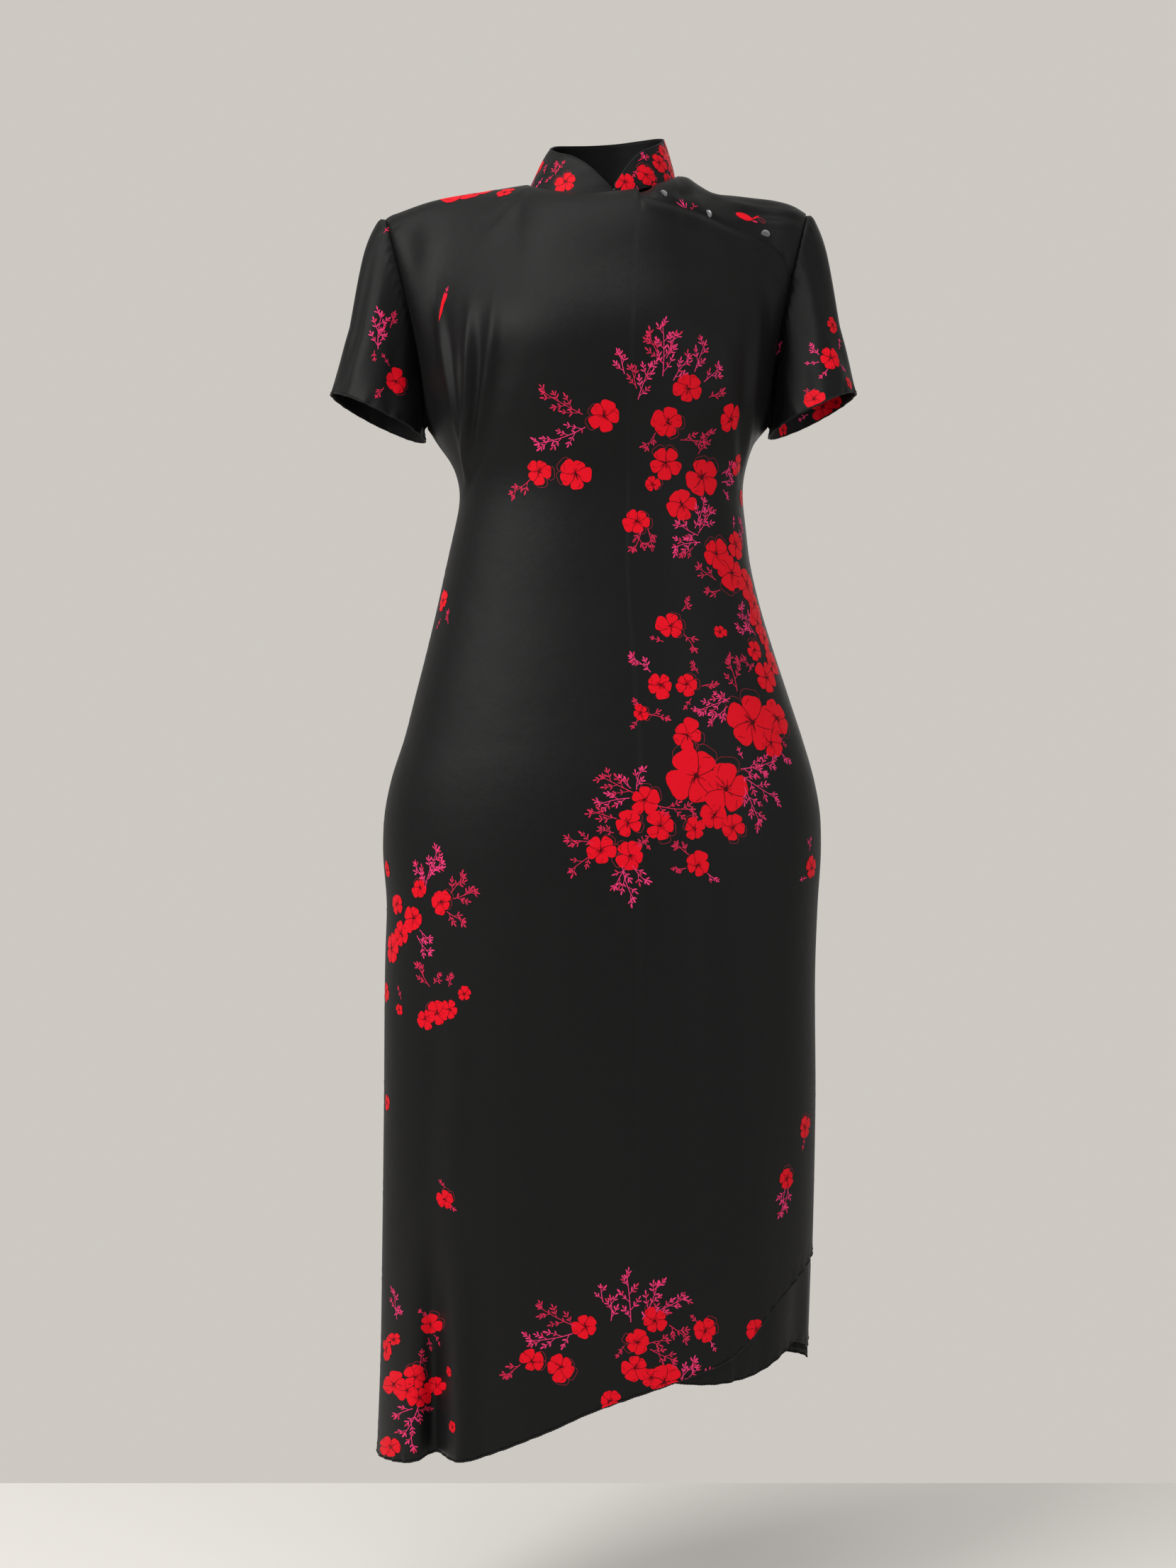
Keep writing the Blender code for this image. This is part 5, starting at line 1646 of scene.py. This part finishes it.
# Plain studio: pale floor, pale surroundings, soft light from the upper left.
pale = bpy.data.materials.new("pale_floor")
tree, shader = nodes_of(pale)
noise = add(tree, "ShaderNodeTexNoise", Scale=3.0, Detail=4.0)
wire(tree.nodes.new("ShaderNodeTexCoord"), "Object", noise, "Vector")
FLOOR_COLOUR = (0.84, 0.82, 0.79)
wire(ramp_of(tree, noise, [c * 0.985 for c in FLOOR_COLOUR], [c * 1.01 for c in FLOOR_COLOUR]),
     "Color", shader, "Base Color")
shader.inputs["Roughness"].default_value = 0.85
FLOOR_X = 3.2
FLOOR_Y = 1.5
floor = add_mesh("floor", [(-FLOOR_X, -FLOOR_Y, 0), (FLOOR_X, -FLOOR_Y, 0), (FLOOR_X, FLOOR_Y, 0),
                           (-FLOOR_X, FLOOR_Y, 0)], [(0, 1, 2, 3)], (pale,), soft=False)
floor.location = (0, -1.08, FLOOR_Z)

# Lights: place, height of the aim, width and height, watts, colour.
for name, place, aim_z, size, watts, colour in (
        ("key_light", (-2.3, -1.9, 1.25), -0.55, (1.7, 2.2), 84, (1.0, 0.985, 0.96)),
        ("fill_light", (2.6, -2.4, 0.1), -0.6, (1.8, 2.2), 18, (0.97, 0.98, 1.0)),
        ("back_light", (0.6, 2.8, 0.6), -0.6, (2.2, 2.2), 12, (1.0, 0.99, 0.97)),
        ("top_light", (-0.5, -0.9, 2.2), -0.3, (1.8, 1.6), 26, (1.0, 0.99, 0.97))):
    data = bpy.data.lights.new(name, "AREA")
    data.shape = "RECTANGLE"
    data.size, data.size_y = size
    data.energy = watts
    data.color = colour
    thing = linked(bpy.data.objects.new(name, data))
    thing.location = place
    aim = Vector((0, 0, aim_z)) - Vector(place)
    thing.rotation_euler = aim.to_track_quat("-Z", "Y").to_euler()

# Pale surroundings as the camera sees them, and a softer share of them as light.
world = bpy.data.worlds.new("studio_air")
world.use_nodes = True
tree = world.node_tree
sky = tree.nodes["Background"]
sky.inputs["Color"].default_value = (1.0, 0.975, 0.94, 1)
sky.inputs["Strength"].default_value = 0.42
seen = add(tree, "ShaderNodeBackground", Color=(0.610, 0.580, 0.540, 1), Strength=1.0)
either = tree.nodes.new("ShaderNodeMixShader")
wire(tree.nodes.new("ShaderNodeLightPath"), "Is Camera Ray", either, 0)
wire(sky, "Background", either, 1)
wire(seen, "Background", either, 2)
wire(either, "Shader", tree.nodes["World Output"], "Surface")
bpy.context.scene.world = world
bpy.context.scene.view_settings.view_transform = "Standard"

lens = bpy.data.cameras.new("camera")
lens.lens = CAMERA_LENS
lens.sensor_width = 36.0
lens.clip_start = 0.05
camera = linked(bpy.data.objects.new("camera", lens))
camera.location = (CAMERA_X, -CAMERA_DISTANCE, CAMERA_Z)
camera.rotation_euler = (math.pi / 2, 0.0, 0.0)
bpy.context.scene.camera = camera
